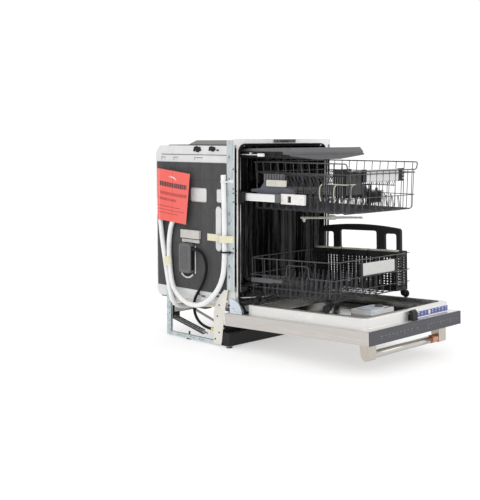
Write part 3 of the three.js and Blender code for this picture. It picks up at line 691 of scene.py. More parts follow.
def add_tub():
    """The tub in two skins, with an opening for the sump."""
    sump_hole = Form().prism(rounded_rectangle(SUMP.x0, SUMP.x1, SUMP.y0, SUMP.y1, 40, 8), 150, 175, "z")
    show("tub_outer", tub_wall(0, SHEET, TUB.y0), TUB_OUT, "cabinet", "stainless", replaces=["tub_shell"],
         holes=sump_hole)
    show("tub_lining", tub_wall(SHEET + 0.05, 1.2, TUB.y0 + 0.2), TUB_IN, "cabinet", "stainless",
         holes=sump_hole)


def add_lining_panels():
    """Raised panels pressed into the side walls, the back and the floor."""
    wall = Form()
    left, right, back = TUB.x0 + 1.1, TUB.x1 - 1.1, TUB.y1 - 1.1
    for z0, z1 in ((255, 600), (662, 780)):
        outline = rounded_rectangle(60, 470, z0, z1, 30)
        inner = rounded_rectangle(68, 462, z0 + 8, z1 - 8, 24)
        for x, step in ((left, 3.2), (right, -3.2)):
            panel = [[(x, u, v) for u, v in outline], [(x + step, u, v) for u, v in inner]]
            wall.rings(panel if step < 0 else panel[::-1])
    for x0, x1 in ((52, 250), (353, 551)):
        outline = rounded_rectangle(x0, x1, 215, 790, 30)
        inner = rounded_rectangle(x0 + 8, x1 - 8, 223, 782, 24)
        wall.rings([[(u, back, v) for u, v in outline], [(u, back - 3.2, v) for u, v in inner]])
    show("tub_pressed_panels", wall, TUB_IN, "cabinet", "stainless")


def add_wheel_ledges():
    """Folded ledges on the tub's sides that carry on the line of the open door's rims."""
    ledge = Form()
    y0, y1 = 5, 470
    top = [RIM_TOP - (y - HINGE_Y) * math.tan(math.radians(TILT)) - 0.8 for y in (y0, y1)]
    for start, end in ((TUB.x0 + 1, 50), (WIDTH - 50, TUB.x1 - 1)):
        ledge.prism([(y0, top[0] - 1.2), (y1, top[1] - 1.2), (y1, top[1]), (y0, top[0])], start, end, "x")
    show("wheel_ledges", ledge, TUB_IN, "cabinet", "stainless", bevel=0.4)


def add_tub_fittings():
    """What sits on the tub's light outer wall: its folded seam, slots, plugs and the black bungs."""
    skin = TUB.x0
    seam = Form().box(skin - 1.6, skin + 0.4, PAD.y0 - 4, TUB.y1 - 44, 798.4, 800.6)
    seam.box(skin - 1.0, skin + 0.4, PAD.y0 - 4, TUB.y1 - 30, 800.6, 834)
    show("tub_seam", seam, TUB_OUT, "cabinet", "stainless", bevel=0.5)
    # Painted shadow: a slate strip just under the seam stands for the shade line below its fold.
    gap = Form().box(skin - 1.2, skin + 0.4, PAD.y0 - 4, TUB.y1 - 46, 795.6, 798.2)
    show("tub_seam_shadow_line", gap, SLATE, "cabinet", "stainless")
    slots, lips = Form(), Form()
    for y0, y1 in ((432, 461), (350, 380), (194, 248)):
        slots.box(skin - 0.5, skin + 0.4, y0, y1, 783.5, 786)
        slots.box(skin - 0.5, skin + 0.4, y1 - 3, y1, 774, 784)
        lips.box(skin - 1.4, skin + 0.4, y0, y1 - 3, 777, 783)
    show("tub_slots", slots, SLATE, "cabinet", "stainless")
    show("tub_slot_lips", lips, TUB_OUT, "cabinet", "stainless", bevel=0.5)
    bungs = Form()
    lobes = ((0, 0, 12), (-13, 2, 8.5), (12, 3, 9), (-18, -3, 5), (18, -4, 5.5), (4, 9, 5), (-7, -8, 5))
    for y, z, size in ((226, 820, 1.0), (135, 822, 0.86), (102, 817, 0.24)):
        for dy, dz, r in lobes:
            r *= size
            bungs.lathe((skin - 1, y + dy * size, z + dz * size),
                        [(r * 0.6, 0), (r, -1.5), (r, -3.5), (r * 0.7, -5.5), (r * 0.3, -6)], "x", 14)
    show("tub_bungs", bungs, BLACK, "cabinet", "black_plastic")


RIM_TOP = 189
add_tub()
add_lining_panels()
add_wheel_ledges()
add_tub_fittings()


# ---- front frame, gasket and strike ----
def add_front_frame():
    """The frame of the mouth: sealing strips, beads, polished strips with painted reflection streaks, white
    wires painted along its front edges as highlights, and screws.
    """
    dress("front_frame", FRAME_STEEL, 0.3)
    strips = Form()
    for low, high in ((3.2, 13.5), (WIDTH - 13.5, WIDTH - 3.2)):
        strips.box(low, high, -0.9, -0.1, 262, 838)
    holes = Form()
    for z in spread(285, 815, 19):
        for x in (8.4, WIDTH - 8.4):
            holes.lathe((x, 2, z), [(1.9, 0), (1.9, -5)], "y", 10)
    show("frame_sealing_strips", strips, FLANGE_DARK, "cabinet", "galvanised", holes=holes)
    beads = Form()
    for x in (18.6, WIDTH - 18.6):
        beads.wire([(x, -0.6, 218), (x, -0.6, 822)], 3.4, 10)
    show("frame_beads", beads, ALUMINIUM, "cabinet", "galvanised")
    streaks = Form()
    bright = ((3, 17, 240, 826, 0.6), (20, 27, 240, 815, 0.6), (27.5, 37, 240, 600, 2.6),
              (27.5, 37, 656, 790, 2.6))
    for low, high, z0, z1, proud in bright:
        streaks.add(doubled(Form().box(low, high, -0.3 - proud, 0.2 - proud, z0, z1)))
    show("frame_chrome_strips", streaks, FRAME_CHROME, "cabinet", "galvanised")
    # Painted highlight: a thin white wire down each front edge of the frame stands for the light those edges
    # catch.
    edge = doubled(Form().wire([(0.4, 0.2, 250), (0.4, 0.2, 856)], 1.5, 8))
    show("frame_edge_highlights", edge, WHITE, "cabinet", "galvanised")
    screws = Form()
    for z in (742, 662, 645, 610, 420):
        for x, out in ((1.2, -1), (WIDTH - 1.2, 1)):
            head = [(0.5, 0), (3.6, 0.6), (3.6, 2.2), (1.8, 3.2)]
            screws.lathe((x, 2.5, z), [(r, h * out) for r, h in head], "x", 12)
            screws.lathe((x - 9 * out, -1, z - 9), [(3.4, 0), (3.4, -1.6), (1.6, -2.6)], "y", 12)
    show("frame_screws", screws, BLACK_STEEL, "cabinet", "black_steel")


def add_side_flange_details():
    """Zinc skin, slots and pressed ribs along the strip that meets the neighbouring cabinet."""
    skin = Form().box(-0.7, 0.2, 1.6, 41.2, 247, 856).box(WIDTH - 0.2, WIDTH + 0.7, 1.6, 41.2, 247, 856)
    show("side_flange_skins", skin, GALVANISED, "cabinet", "galvanised", bevel=0.3)
    slots = Form()
    for z in (300, 345, 395, 520, 560, 700, 790):
        for x in (-0.6, WIDTH + 0.6):
            slots.prism(rounded_rectangle(24, 30, z - 7, z + 7, 2.9, 4), x - 0.2, x + 0.2, "x")
    show("flange_slots", slots, SLATE, "cabinet", "galvanised")
    ribs = Form()
    for z0, z1 in ((258, 330), (352, 505), (575, 688), (712, 846)):
        for x in (-0.5, WIDTH + 0.5):
            ribs.prism(rounded_rectangle(9, 13, z0, z1, 1.9, 4), x - 1.0, x + 1.0, "x")
    show("flange_ribs", ribs, GALVANISED, "cabinet", "galvanised", bevel=0.5)
    top = Form().box(4, WIDTH - 4, 1, 40, 855.5, 857)
    top.box(2, 12, 6, 40, 845, 857).box(WIDTH - 12, WIDTH - 2, 6, 40, 845, 857)
    show("frame_top_returns", top, WHITE, "cabinet", "galvanised", bevel=0.6)


def add_gasket():
    """The door seal: a bulb on a flat foot, bent in an inverted U inside the mouth."""
    foot = GASKET_FOOT
    path = rounded([(GASKET.x0 + foot, 0, 205), (GASKET.x0 + foot, 0, GASKET.z1 - foot),
                    (GASKET.x1 - foot, 0, GASKET.z1 - foot), (GASKET.x1 - foot, 0, 205)], 44, steps=10)
    middle = Vector((MID, 0, 500))
    rings = []
    for i, p in enumerate(path):
        along = (path[min(i + 1, len(path) - 1)] - path[max(i - 1, 0)]).normalized()
        inward = along.cross(Vector((0, 1, 0)))
        if inward.dot(middle - p) < 0:
            inward = -inward
        section = [(-foot, 1.2), (-foot, -3.5), (-2, -5.4), (0.6, -5.0), (2, -2.8), (2, 0.6), (0.2, 1.3)]
        rings.append([p + inward * u + Vector((0, v, 0)) for u, v in section])
    bulb = Form().rings(rings)
    bulb.box(GASKET.x0 + 40, GASKET.x1 - 40, 1.5, 4.5, GASKET.z1 - foot - 6.5, GASKET.z1 - foot - 1)
    show("gasket_bulb", bulb, RUBBER, "cabinet", "rubber", replaces=["door_gasket"], sharp=60)


def add_strike():
    dress("latch_strike", SLATE, 0.8)
    strike = span("latch_strike")
    parts = Form()
    for x in (strike.x0 + 14, strike.x0 + 34, strike.x1 - 34, strike.x1 - 14):
        parts.lathe((x, strike.y0, 854), [(3.2, 0), (3.2, -1.4), (1.4, -2)], "y", 12)
    parts.box(MID - 20, MID + 20, strike.y0 + 1, strike.y0 + 3, 851, 856)
    show("strike_screws", parts, BLACK_STEEL, "cabinet", "black_steel", bevel=0.3)


FRAME_STEEL = brushed("frame_steel", (0.83, 0.835, 0.83), 0.38, "z", depth=0.1, metallic=0.55)


def frame_chrome():
    """Polished edge strip of the mouth, with soft dark streaks down it painted in as reflections."""
    surface = Surface("frame_chrome", (0.74, 0.74, 0.75), 0.24, 0.6)
    streaks = surface.noise(1.0, 4.0, 0.7, (150, 150, 6))
    # Painted reflections: near-black streaks down the strip.
    surface.tint(surface.remap(streaks, 0.0, 0.9, 0.44, 0.6), (0.07, 0.07, 0.075))
    surface.rough(streaks, 0.16, 0.34)
    return surface.bump(surface.noise(1.0, 3.0, 0.6, (60, 60, 12)), 0.25, 0.002).material


FRAME_CHROME = frame_chrome()


def flange_dark():
    """Blackish adhesive strip with flecks where the bright metal shows through."""
    surface = Surface("flange_dark", (0.16, 0.16, 0.165), 0.5, 0.4)
    flecks = surface.noise(1.0, 4.0, 0.7, (160, 160, 55))
    surface.tint(surface.remap(flecks, 0.0, 1.0, 0.5, 0.62), (0.72, 0.72, 0.71))
    surface.rough(flecks, 0.35, 0.7)
    return surface.bump(flecks, 0.2, 0.0006).material


FLANGE_DARK = flange_dark()
GASKET = span("door_gasket")
GASKET_FOOT = 4.6
add_front_frame()
add_side_flange_details()
add_gasket()
add_strike()


# ---- sound pads ----
PAD_HOLES = ((169, 270, 599, 659, 9), (62, 112, 602, 658, 9), (80, 118, 399, 587, 18),
             (244, 339, 273, 429, 46))


def pad_holes():
    """The cut-outs of a side pad, and the shallow grooves of its pressed grid."""
    holes = Form()
    for y0, y1, z0, z1, r in PAD_HOLES:
        holes.prism(rounded_rectangle(y0, y1, z0, z1, r), PAD.x0 - 2, PAD.x1 + 2, "x")
    for y in (135, 205, 285, 360, 430):
        holes.box(PAD.x0 - 1, PAD.x0 + 0.45, y, y + 1.8, PAD.z0 - 1, PAD.z1 + 1)
    for z in (262, 348, 490, 560, 690, 738):
        holes.box(PAD.x0 - 1, PAD.x0 + 0.45, PAD.y0 - 1, PAD.y1 + 1, z, z + 1.8)
    return holes


def add_side_pads():
    """Bitumen pads on both sides, with the tub seen in their cut-outs and a pocket for the plug."""
    sheet = [(PAD.y0, PAD.z0), (PAD.y1, PAD.z0), (PAD.y1, PAD.z1), (PAD.y0, PAD.z1)]
    pad = Form().prism(sheet, PAD.x0, PAD.x1, "x")
    show_pair("sound_pad", pad, BITUMEN, "cabinet", "bitumen", pad_holes(), ["side_pad"])
    pocket = Form().prism(rounded_rectangle(246, 337, 275, 427, 44), PAD.x1 - 1.2, PAD.x1 - 0.4, "x")
    show("cord_pocket", pocket, BLACK, "cabinet", "black_plastic")
    rim = [(PAD.x0 - 0.6, y, z) for y, z in arc(291.5, 319, 48, 222, 318, 12)]
    bright = Form().wire(rim, 3.8, 8)
    bright.wire([(PAD.x0 - 0.4, 240, 292), (PAD.x0 - 0.4, 240, 412)], 2.4, 8)
    show("cord_pocket_rim", bright, WHITE, "cabinet", "stainless")
    bosses = Form()
    for y0, y1, z0, z1, r in PAD_HOLES[:3]:
        outer = rounded_rectangle(y0 + 3, y1 - 3, z0 + 3, z1 - 3, max(4, r - 3))
        inner = rounded_rectangle(y0 + 7, y1 - 7, z0 + 7, z1 - 7, max(3, r - 6))
        bosses.rings([[(TUB.x0 + 0.2, u, v) for u, v in outer], [(TUB.x0 - 1.6, u, v) for u, v in outer],
                      [(TUB.x0 - 2.2, u, v) for u, v in inner]])
    show_pair("tub_bosses", bosses, TUB_OUT, "cabinet", "stainless")


def slab(x0, x1, y0, y1, z0, z1, slope, rise):
    """A slab whose upper edges slope in."""
    low = rounded_rectangle(x0, x1, y0, y1, 12, 3)
    high = rounded_rectangle(x0 + slope, x1 - slope, y0 + slope, y1 - slope, 10, 3)
    return Form().rings([[(x, y, z0) for x, y in low], [(x, y, z0 + rise) for x, y in low],
                         [(x, y, z1) for x, y in high]])


def add_top_pads():
    top = span("top_pad")
    felt = slab(top.x0, top.x1, top.y0, top.y1, TUB.z1 + 3.2, top.z1 + 7, slope=22, rise=3)
    show("top_felt", felt, FELT, "cabinet", "felt", replaces=["top_pad"])
    sheet = slab(34, WIDTH - 34, 56, 452, TUB.z1 - 0.4, TUB.z1 + 3, slope=6, rise=1)
    show("top_sheet", sheet, BITUMEN, "cabinet", "bitumen")


add_side_pads()
add_top_pads()


# ---- what is strapped to the left side ----
def ribbon(points, z0, z1, thick=0.6):
    """A strip of tape seen from above as a line of (y, x) points, standing from z0 to z1."""
    path = [Vector((x, y, 0)) for y, x in points]
    outer = [(p.x, p.y) for p in path]
    inner = [(p.x + thick, p.y + thick * 0.2) for p in path]
    return Form().prism(outer + inner[::-1], z0, z1, "z")


def add_tapes():
    """Strips of tape that hold the hose against the side."""
    front = ribbon([(165, 6.3), (112, 5.6), (80, -9), (64, -18.8), (48, -19.6), (32, -18.6), (20, -6),
                    (8, -1.2), (3, -1.4)], 441, 470)
    rear = ribbon([(436, 5.2), (423, -10), (414, -18.6), (398, -19.6), (386, -19.2), (378, -13)], 311, 355)
    show("strap_tape_front", front, TAPE, "cabinet", "tag_paper", sharp=60)
    show("strap_tape_rear", rear, TAPE, "cabinet", "tag_paper", sharp=60)
    thin = ribbon([(392, 5), (380, -10), (352, -14), (330, -18.5), (314, -12), (300, 6.3)], 664, 672)
    show("hose_loop_tape", thin, TAPE, "cabinet", "tag_paper", sharp=60)


def add_foam():
    block = Form().box(-6, PAD.x0 - 0.2, 205, 322, 442, 478)
    block.box(-1, PAD.x0 - 0.2, 210, 318, 424, 439)
    show("foam_block", block, FOAM, "cabinet", "felt", bevel=1.6)
    lead = Form().box(-3, PAD.x0 - 0.2, 208, 320, 439.2, 441.8)
    show("foam_shadow_strip", lead, BLACK, "cabinet", "black_plastic", bevel=0.5)


def add_hose_clips():
    clip = Form().wire([(-19.4, 62, 402), (-19.4, 36, 402), (-1.5, 30, 402), (-1.5, 22, 402)], 3.6, 10, 6)
    clip.box(-3, -0.6, 14, 27, 397, 407)
    for y in (9, 2):
        clip.lathe((-0.6, y, 402), [(2.6, 0), (2.6, -1.6), (1.2, -2.2)], "x", 10)
    show("hose_clip", clip, BLACK, "cabinet", "black_plastic", bevel=0.5)
    bends = ((-15, 60), (-19.2, 48), (-12, 34), (-1.2, 22), (-1.2, 2))
    hook = Form().wire([(x, y, 690) for x, y in bends], 3.2, 8, 8)
    hook.box(-3, -0.6, 4, 32, 686, 698)
    show("hose_hook", hook, WHITE, "cabinet", "pale_plastic")


# The tag's rear and front corners in (y, z).
TAG_TOP = ((455, 737), (243, 717))
TAG_BOTTOM = ((450, 514.5), (268, 501.5))
INK_OFF, INK_THICK = 0.12, 0.1


def on_tag(u, v, off=0.0):
    """A point on the hanging tag: u from its rear to its front edge, v from its top down, off its face."""
    (y0, z0), (y1, z1) = [Vector(a).lerp(Vector(b), v) for a, b in zip(TAG_TOP, TAG_BOTTOM)]
    sag = 3.2 * math.sin(math.pi * v) * math.sin(math.pi * u)
    x = -18.9 - 2.6 * abs(2 * u - 1) ** 2 * (0.3 + v) - 0.7 * math.sin(9 * u + 3 * v) - off
    return x, y0 + (y1 - y0) * u, z0 + (z1 - z0) * u - sag


def tag_patch(u0, u1, v0, v1, off, thick, steps):
    """A thin piece of card that follows the tag's face between two values of u and of v."""
    nu, nv = steps
    rings = []
    for i in range(nu + 1):
        u = u0 + (u1 - u0) * i / nu
        column = [v0 + (v1 - v0) * j / nv for j in range(nv + 1)]
        rings.append([on_tag(u, v, off) for v in column] + [on_tag(u, v, off - thick) for v in column[::-1]])
    return Form().rings(rings)


def add_tag():
    """The red card over the hose loop. Its lettering is left out: rows of plain bars stand for it."""
    show("hanging_tag", tag_patch(0, 1, 0, 1, off=0, thick=0.5, steps=(18, 18)), TAG, "cabinet", "tag_paper",
         replaces=["shipping_tag"], sharp=70)
    rows = ((0.23, 0.32, 0.08, 0.93, 0.06), (0.42, 0.48, 0.1, 0.95, 0.03), (0.54, 0.59, 0.06, 0.62, 0.03),
            (0.70, 0.715, 0.04, 0.75, 0.3), (0.765, 0.785, 0.04, 0.9, 0.025), (0.83, 0.85, 0.04, 0.7, 0.025))
    for number, (v0, v1, start, end, length) in enumerate(rows):
        bars = Form()
        u = start
        while u < end:
            run = min(length * random.uniform(0.6, 1.3), end - u)
            bars.add(tag_patch(u, u + run, v0, v1, INK_OFF, INK_THICK, steps=(3, 1)))
            u += run + 0.012
        ink = INK_FADED if number else INK
        show(f"tag_bar_{number + 1}", bars, ink, "cabinet", "tag_paper", sharp=70)


def add_creases():
    # Painted light on the tag's folds: a pale strip near the rear edge stands for a crease's lit side, a
    # dark strip in the middle for a fold's shade.
    for tone, start, end, material in (("pale", 0.05, 0.068, TAG_CREASE_HIGHLIGHT), ("dark", 0.47, 0.484, TAG_CREASE_SHADE)):
        crease = tag_patch(start, end, 0.01, 0.99, INK_OFF, INK_THICK, steps=(1, 14))
        show(f"tag_crease_{tone}", crease, material, "cabinet", "tag_paper", sharp=70)


def add_plug():
    """The moulded plug, parked on the side pad, with its strain relief."""
    plug = span("power_plug")
    layers = ((plug.x0, 5), (plug.x0 + 2, 1.6), (plug.x0 + 6, 0), (plug.x1 - 3, 1.5), (plug.x1, 6))
    rings = []
    for x, inset in layers:
        sides = (plug.y0 + inset, plug.y1 - inset, plug.z0 + inset, plug.z1 - inset)
        rings.append([(x, u, v) for u, v in rounded_rectangle(*sides, 15 - inset, 5)])
    body, ribs = Form().rings(rings), Form()
    for y in spread(plug.y0 + 12, plug.y1 - 14, 13):
        ribs.box(plug.x0 - 1, plug.x0 + 0.5, y, y + 1.6, plug.z0 + 14, plug.z1 - 14)
    # Painted shade: a black sheet over the plug's front side stands for the shade that side is in.
    side_shade = Form().box(plug.x0 + 7, plug.x1 - 1, plug.y0 - 0.7, plug.y0 + 0.3, plug.z0 + 13, plug.z1 - 13)
    show("plug_side_shade", side_shade, BLACK, "cabinet", "black_plastic", bevel=0.3)
    show("plug_body", body, PLUG_GREY, "cabinet", "black_plastic", replaces=["power_plug"], holes=ribs)
    relief = [(5.6, 0), (8.6, 2), (8.2, 10), (7.2, 22), (6.6, 30), (6.3, 34)]
    form = Form().lathe((-8, plug.y0 + 0.5, 398), [(r, -h) for r, h in relief], "y", 20)
    show("plug_strain_relief", form, BLACK, "cabinet", "black_plastic")


# Lit and shaded copies of the tag card, painted onto its creases.
TAG_CREASE_HIGHLIGHT = card("tag_crease_highlight", (0.90, 0.34, 0.29), dark=(0.86, 0.24, 0.2))
TAG_CREASE_SHADE = card("tag_crease_shade", (0.70, 0.09, 0.075), dark=(0.62, 0.05, 0.05))
INK_FADED = painted("ink_faded", (0.40, 0.05, 0.055), 0.7)
PLUG_GREY = moulded("plug_grey", (0.125, 0.125, 0.13), 0.6, grain=700)
add_tapes()
add_foam()
add_hose_clips()
add_tag()
add_creases()
add_plug()


# ---- base ----
def add_base():
    for side in ("left", "right"):
        dress(f"base_frame_{side}", GALVANISED, 0.3)
        dress(f"hinge_post_{side}", CREAM, 0.4)
        dress(f"foot_front_{side}", BLACK, 0.6)
        dress(f"foot_rear_{side}", BLACK, 0.6)
    dress("rear_crossbar", BLACK_STEEL, 0.4)
    dress("toe_kick", BLACK_STEEL, 0.4)
    holes, screws, lips = Form(), Form(), Form()
    for z in (46, 68, 102, 126, 150, 172, 193):
        holes.prism(arc(406, z, 2.6, 0, 330, 11), 1.55, 1.9, "x")
    for y in (92, 108, 192, 214, 250, 268, 330, 345):
        holes.prism(arc(y, 14, 2.2, 0, 330, 11), 1.55, 1.9, "x")
    for y, z in ((424, 128), (424, 90)):
        screws.lathe((6, y, z), [(4.6, 0), (4.6, -2.2), (2, -3.4)], "y", 12)
    for y, z in ((111, 30), (72, 13), (88, 60), (98, 128), (88, 176)):
        screws.lathe((-0.1, y, z), [(3.4, 0), (3.4, -1.4), (1.4, -2)], "x", 12)
    lips.box(2, 12, 396, 397.6, 23, 214).box(2, 9, 76, 396, 21.6, 23.2)
    show_pair("base_holes", holes, SLATE, "cabinet", "galvanised")
    show_pair("base_screws", screws, BLACK_STEEL, "cabinet", "black_steel")
    show_pair("base_lips", lips, GALVANISED, "cabinet", "galvanised")
    lip = Form().prism([(119, 8), (121, 8), (121, 143), (112, 172), (92, 208), (66, 236), (64, 234),
                        (90, 206), (110, 171), (119, 142)], -0.1, 9, "x")
    lip.wire([(0.6, 37, 244), (0.6, 57, 153), (0.6, 63, 110), (0.6, 76, 10)], 1.3, 8, 20)
    show_pair("post_lip", lip, CREAM, "cabinet", "cream_steel", bevel=0.4)
    collar = Form().lathe((10, 142, 66), [(7, 0), (8.6, -2), (8.2, -7), (6.6, -12)], "y", 20)
    show("cord_gland_collar", collar, YELLOW, "cabinet", "black_plastic")


def add_crossbar_details():
    bar = span("rear_crossbar")
    holes = Form()
    for x in spread(bar.x0 + 18, bar.x1 - 18, 24):
        holes.prism(arc(x, 119 + 6 * math.sin(x), 2.6, 0, 330, 11), bar.y0 - 0.35, bar.y0 - 0.05, "y")
    ends = doubled(Form().box(6, bar.x0 + 26, bar.y0 - 3, bar.y0 - 0.2, 72, 134))
    show("crossbar_brackets", ends, BLACK_STEEL, "cabinet", "black_steel", bevel=0.4)
    show("crossbar_holes", holes, GALVANISED, "cabinet", "galvanised")
    rails = Form()
    for x in (WIDTH - 74, WIDTH - 30):
        rails.box(x, x + 14, 60, bar.y0 - 2, 70, 84)
    rails.wire([(150, 400, 97), (150, 240, 53)], 6, 8)
    show("base_stiffeners", rails, BASE_GREY, "cabinet", "galvanised", bevel=0.6)


def add_toe_kick_details():
    kick = span("toe_kick")
    parts = Form()
    for x in (9, WIDTH - 9, 120, 301, 482):
        parts.lathe((x, 71.9, 79), [(3.6, 0), (3.6, -1.4), (1.4, -2.2)], "y", 12)
    show("toe_kick_screws", parts, WHITE, "cabinet", "galvanised")
    folds = Form()
    for z in (11, 58):
        folds.box(4, WIDTH - 4, kick.y0 - 0.6, kick.y0 - 0.1, z, z + 2)
    show("toe_kick_folds", folds, BLACK_STEEL, "cabinet", "black_steel", bevel=0.2)


def coil_spring(x):
    """A close-wound spring from the rear post down to the front, with a hook at each end."""
    rear, front = Vector((x, 388, 84)), Vector((x, 200, 43))
    along = (front - rear).normalized()
    side = Vector((1, 0, 0))
    up = along.cross(side)
    turns, per_turn, radius, wire = 30, 14, 10.2, 1.8
    steps = turns * per_turn
    path = []
    for i in range(steps + 1):
        a = 2 * math.pi * i / per_turn
        centre = rear.lerp(front, i / steps)
        path.append(centre + (side * math.cos(a) + up * math.sin(a)) * radius)
    form = Form().rings(sections(path, lambda i: wire, 6))
    for end, out in ((rear, -along), (front, along)):
        form.wire([end + side * radius, end + out * 5 + side * 4, end + out * 14, end + out * 18 + up * 6,
                   end + out * 22 - up * 2], wire, 8, 4)
    return form


def add_springs():
    for side, x in (("left", 18), ("right", WIDTH - 18)):
        show(f"balance_spring_{side}", coil_spring(x), SPRING, "cabinet", "black_steel", sharp=80,
             replaces=[f"door_spring_{side}"])


def add_underside():
    """Insulation round the lower tub, and a band of the tub's primed sheet at its foot, with a few dark
    patches.
    """
    blanket = Form()
    drape = [(78, 166), (140, 160), (218, 149), (307, 158), (402, 140), (402, 205), (78, 205)]
    for start, end in ((11, 15), (WIDTH - 15, WIDTH - 11)):
        blanket.prism(drape, start, end, "x")
    blanket.box(26, WIDTH - 26, 396, 402, 104, 172)
    show("tub_blanket", blanket, INSULATION, "cabinet", "felt", bevel=1.2)
    foot_band = Form()
    for start, end in ((8.2, 11), (WIDTH - 11, WIDTH - 8.2)):
        foot_band.box(start, end, 52, 486, 206, 222)
        foot_band.box(start + 0.6, end - 0.6, 52, 486, 196, 206)
    show("tub_foot_band", foot_band, TUB_OUT, "cabinet", "stainless", bevel=0.8)
    patches = Form()
    places = ((180, 206, 196, 204), (212, 240, 203, 210), (150, 170, 190, 199), (96, 120, 205, 215))
    for y0, y1, z0, z1 in places:
        patches.prism(rounded_rectangle(y0, y1, z0, z1, 3), 7.6, 8.4, "x")
    show("foot_band_patches", patches, SLATE, "cabinet", "bitumen", bevel=0.2)


# ---- pumps and the parts in the tub's floor ----
def add_water_parts():
    dress("sump_housing", GREY, 1.0)
    dress("heater_element", ALUMINIUM)
    dress("water_conduit", SLATE, 2.0)
    add_wash_pump()
    add_drain_pump()
    add_filter()
    add_lower_arm()


def add_wash_pump():
    """The wash pump's motor beside the sump, with a ring of cooling fins round its body."""
    pump = span("wash_pump")
    motor = Form()
    y, z = (pump.y0 + pump.y1) / 2, (pump.z0 + pump.z1) / 2
    axis = [(30, SUMP.x1 + 1), (34, SUMP.x1 + 8), (34, SUMP.x1 + 30), (27, SUMP.x1 + 36), (27, 383),
            (40, 386), (44, 392), (44, 508), (40, 515), (16, 518), (16, 520), (4, 520)]
    motor.lathe((0, y, z), [(r, x) for r, x in axis], "x", 40)
    show("pump_motor", motor, MOTOR, "cabinet", "motor_steel", replaces=["wash_pump"])
    fins = Form()
    for x in spread(402, 498, 13):
        fins.lathe((0, y, z), [(43, x - 1.2), (45.2, x - 1.2), (45.2, x + 1.2), (43, x + 1.2)], "x", 40)
    show("pump_fins", fins, MOTOR, "cabinet", "motor_steel")


def add_drain_pump():
    """The drain pump on its bracket, with the outlet that the hose is pushed over."""
    drain = span("drain_pump")
    x, y, z = drain.x0 + 14, 378, 128
    profile = [(20, 0), (24, 3), (24, 28), (20, 31), (20, 50), (16, 56), (5, 57)]
    body = Form().lathe((0, 370, 130), [(r, x + h) for r, h in profile], "x", 32)
    body.box(x + 4, x + 44, 346, 395, drain.z0 + 1, drain.z0 + 8)
    body.box(x + 8, x + 16, 350, 391, drain.z0 + 6, 150)
    body.lathe((0, y, z), [(8, drain.x0), (8, x - 1), (11, x), (11, x + 4)], "x", 20)
    bead = [(9.4, 4), (10.2, 5), (10.2, 9), (9.4, 10)]
    body.lathe((0, y, z), [(r, drain.x0 + h) for r, h in bead], "x", 20)
    show("drain_pump_body", body, GREY, "cabinet", "grey_plastic", replaces=["drain_pump"], bevel=0.6)


def add_filter():
    """The filter cup with its grip across the top, and a ring of small studs."""
    cup = span("filter_cup")
    x, y = (cup.x0 + cup.x1) / 2, (cup.y0 + cup.y1) / 2
    profile = [(30, cup.z0), (34, cup.z0 + 2), (36, 160), (38, 168), (38, 171), (30, 171.6), (24, 169)]
    mesh = Form().lathe((x, y, 0), profile, "z", 40)
    mesh.prism(rounded_rectangle(x - 26, x + 26, y - 3, y + 3, 2.5), 169, cup.z1, "z")
    for a in round_angles(24):
        across, back = x + 31 * math.cos(a), y + 31 * math.sin(a)
        mesh.rod((across, back, 171), (across, back, 172.4), 1.6, 6)
    show("filter_body", mesh, GREY, "filter", "grey_plastic", replaces=["filter_cup"], bevel=0.4)


def spray_arm(centre, reach, turn, thick, hub, jets):
    """A two-bladed spray arm: blades that taper and sweep a little, a domed hub and rows of jets."""
    sway = 9  # how far the blades bend to either side
    blunt = 0.93  # the share of the reach where a blade's round end starts
    rings = []
    for t in spread(-1, 1, 25):
        half = 22 - 9 * abs(t)
        if abs(t) >= blunt:
            half = 13.6 * math.sqrt(max(0.02, 1 - ((abs(t) - blunt) / 0.072) ** 2))
        height = thick * (0.5 - 0.12 * abs(t))
        section = [(half * math.cos(a), height * math.sin(a)) for a in round_angles(16)]
        rings.append([(reach * t, sway * math.sin(math.pi * t) + u, v) for u, v in section])
    arm = Form().rings(rings)
    dome = [(hub - 4, -thick * 0.75), (hub, -thick * 0.5), (hub, thick * 0.55), (hub - 6, thick * 0.95),
            (hub - 14, thick)]
    arm.lathe((0, 0, 0), dome, "z", 32)
    for i in range(jets):
        for sign in (-1, 1):
            t = sign * (0.24 + 0.68 * i / (jets - 1))
            arm.lathe((reach * t, sway * math.sin(math.pi * t) + (4 if i % 2 else -4), thick * 0.36),
                      [(3, 0), (2.6, 1.2), (1.2, 1.4)], "z", 10)
    spin = Matrix.Translation(centre) @ Matrix.Rotation(math.radians(turn), 4, "Z")
    return Form().put([spin @ v for v in arm.verts], arm.faces)


def add_lower_arm():
    blades = spray_arm((MID, 255, 190.5), reach=213, turn=28, thick=11, hub=24, jets=7)
    show("lower_arm_blades", blades, GREY, "lower_arm", "grey_plastic", replaces=["lower_spray_arm"])
    top = span("lower_spray_arm").z0 - 0.8
    tower = Form().lathe((MID, 255, 0), [(11, 170), (12.4, 173), (12.4, 180), (11, top)], "z", 24)
    show("spray_arm_bearing", tower, SLATE, "cabinet", "grey_plastic")


YELLOW = moulded("yellow_plastic", (0.72, 0.60, 0.10), 0.45)
BASE_GREY = painted("base_grey", (0.48, 0.47, 0.45), 0.5)
SPRING = painted("spring_steel", (0.11, 0.11, 0.115), 0.24, peel=300, metallic=0.8)
add_base()
add_crossbar_details()
add_toe_kick_details()
add_springs()
add_underside()
add_water_parts()


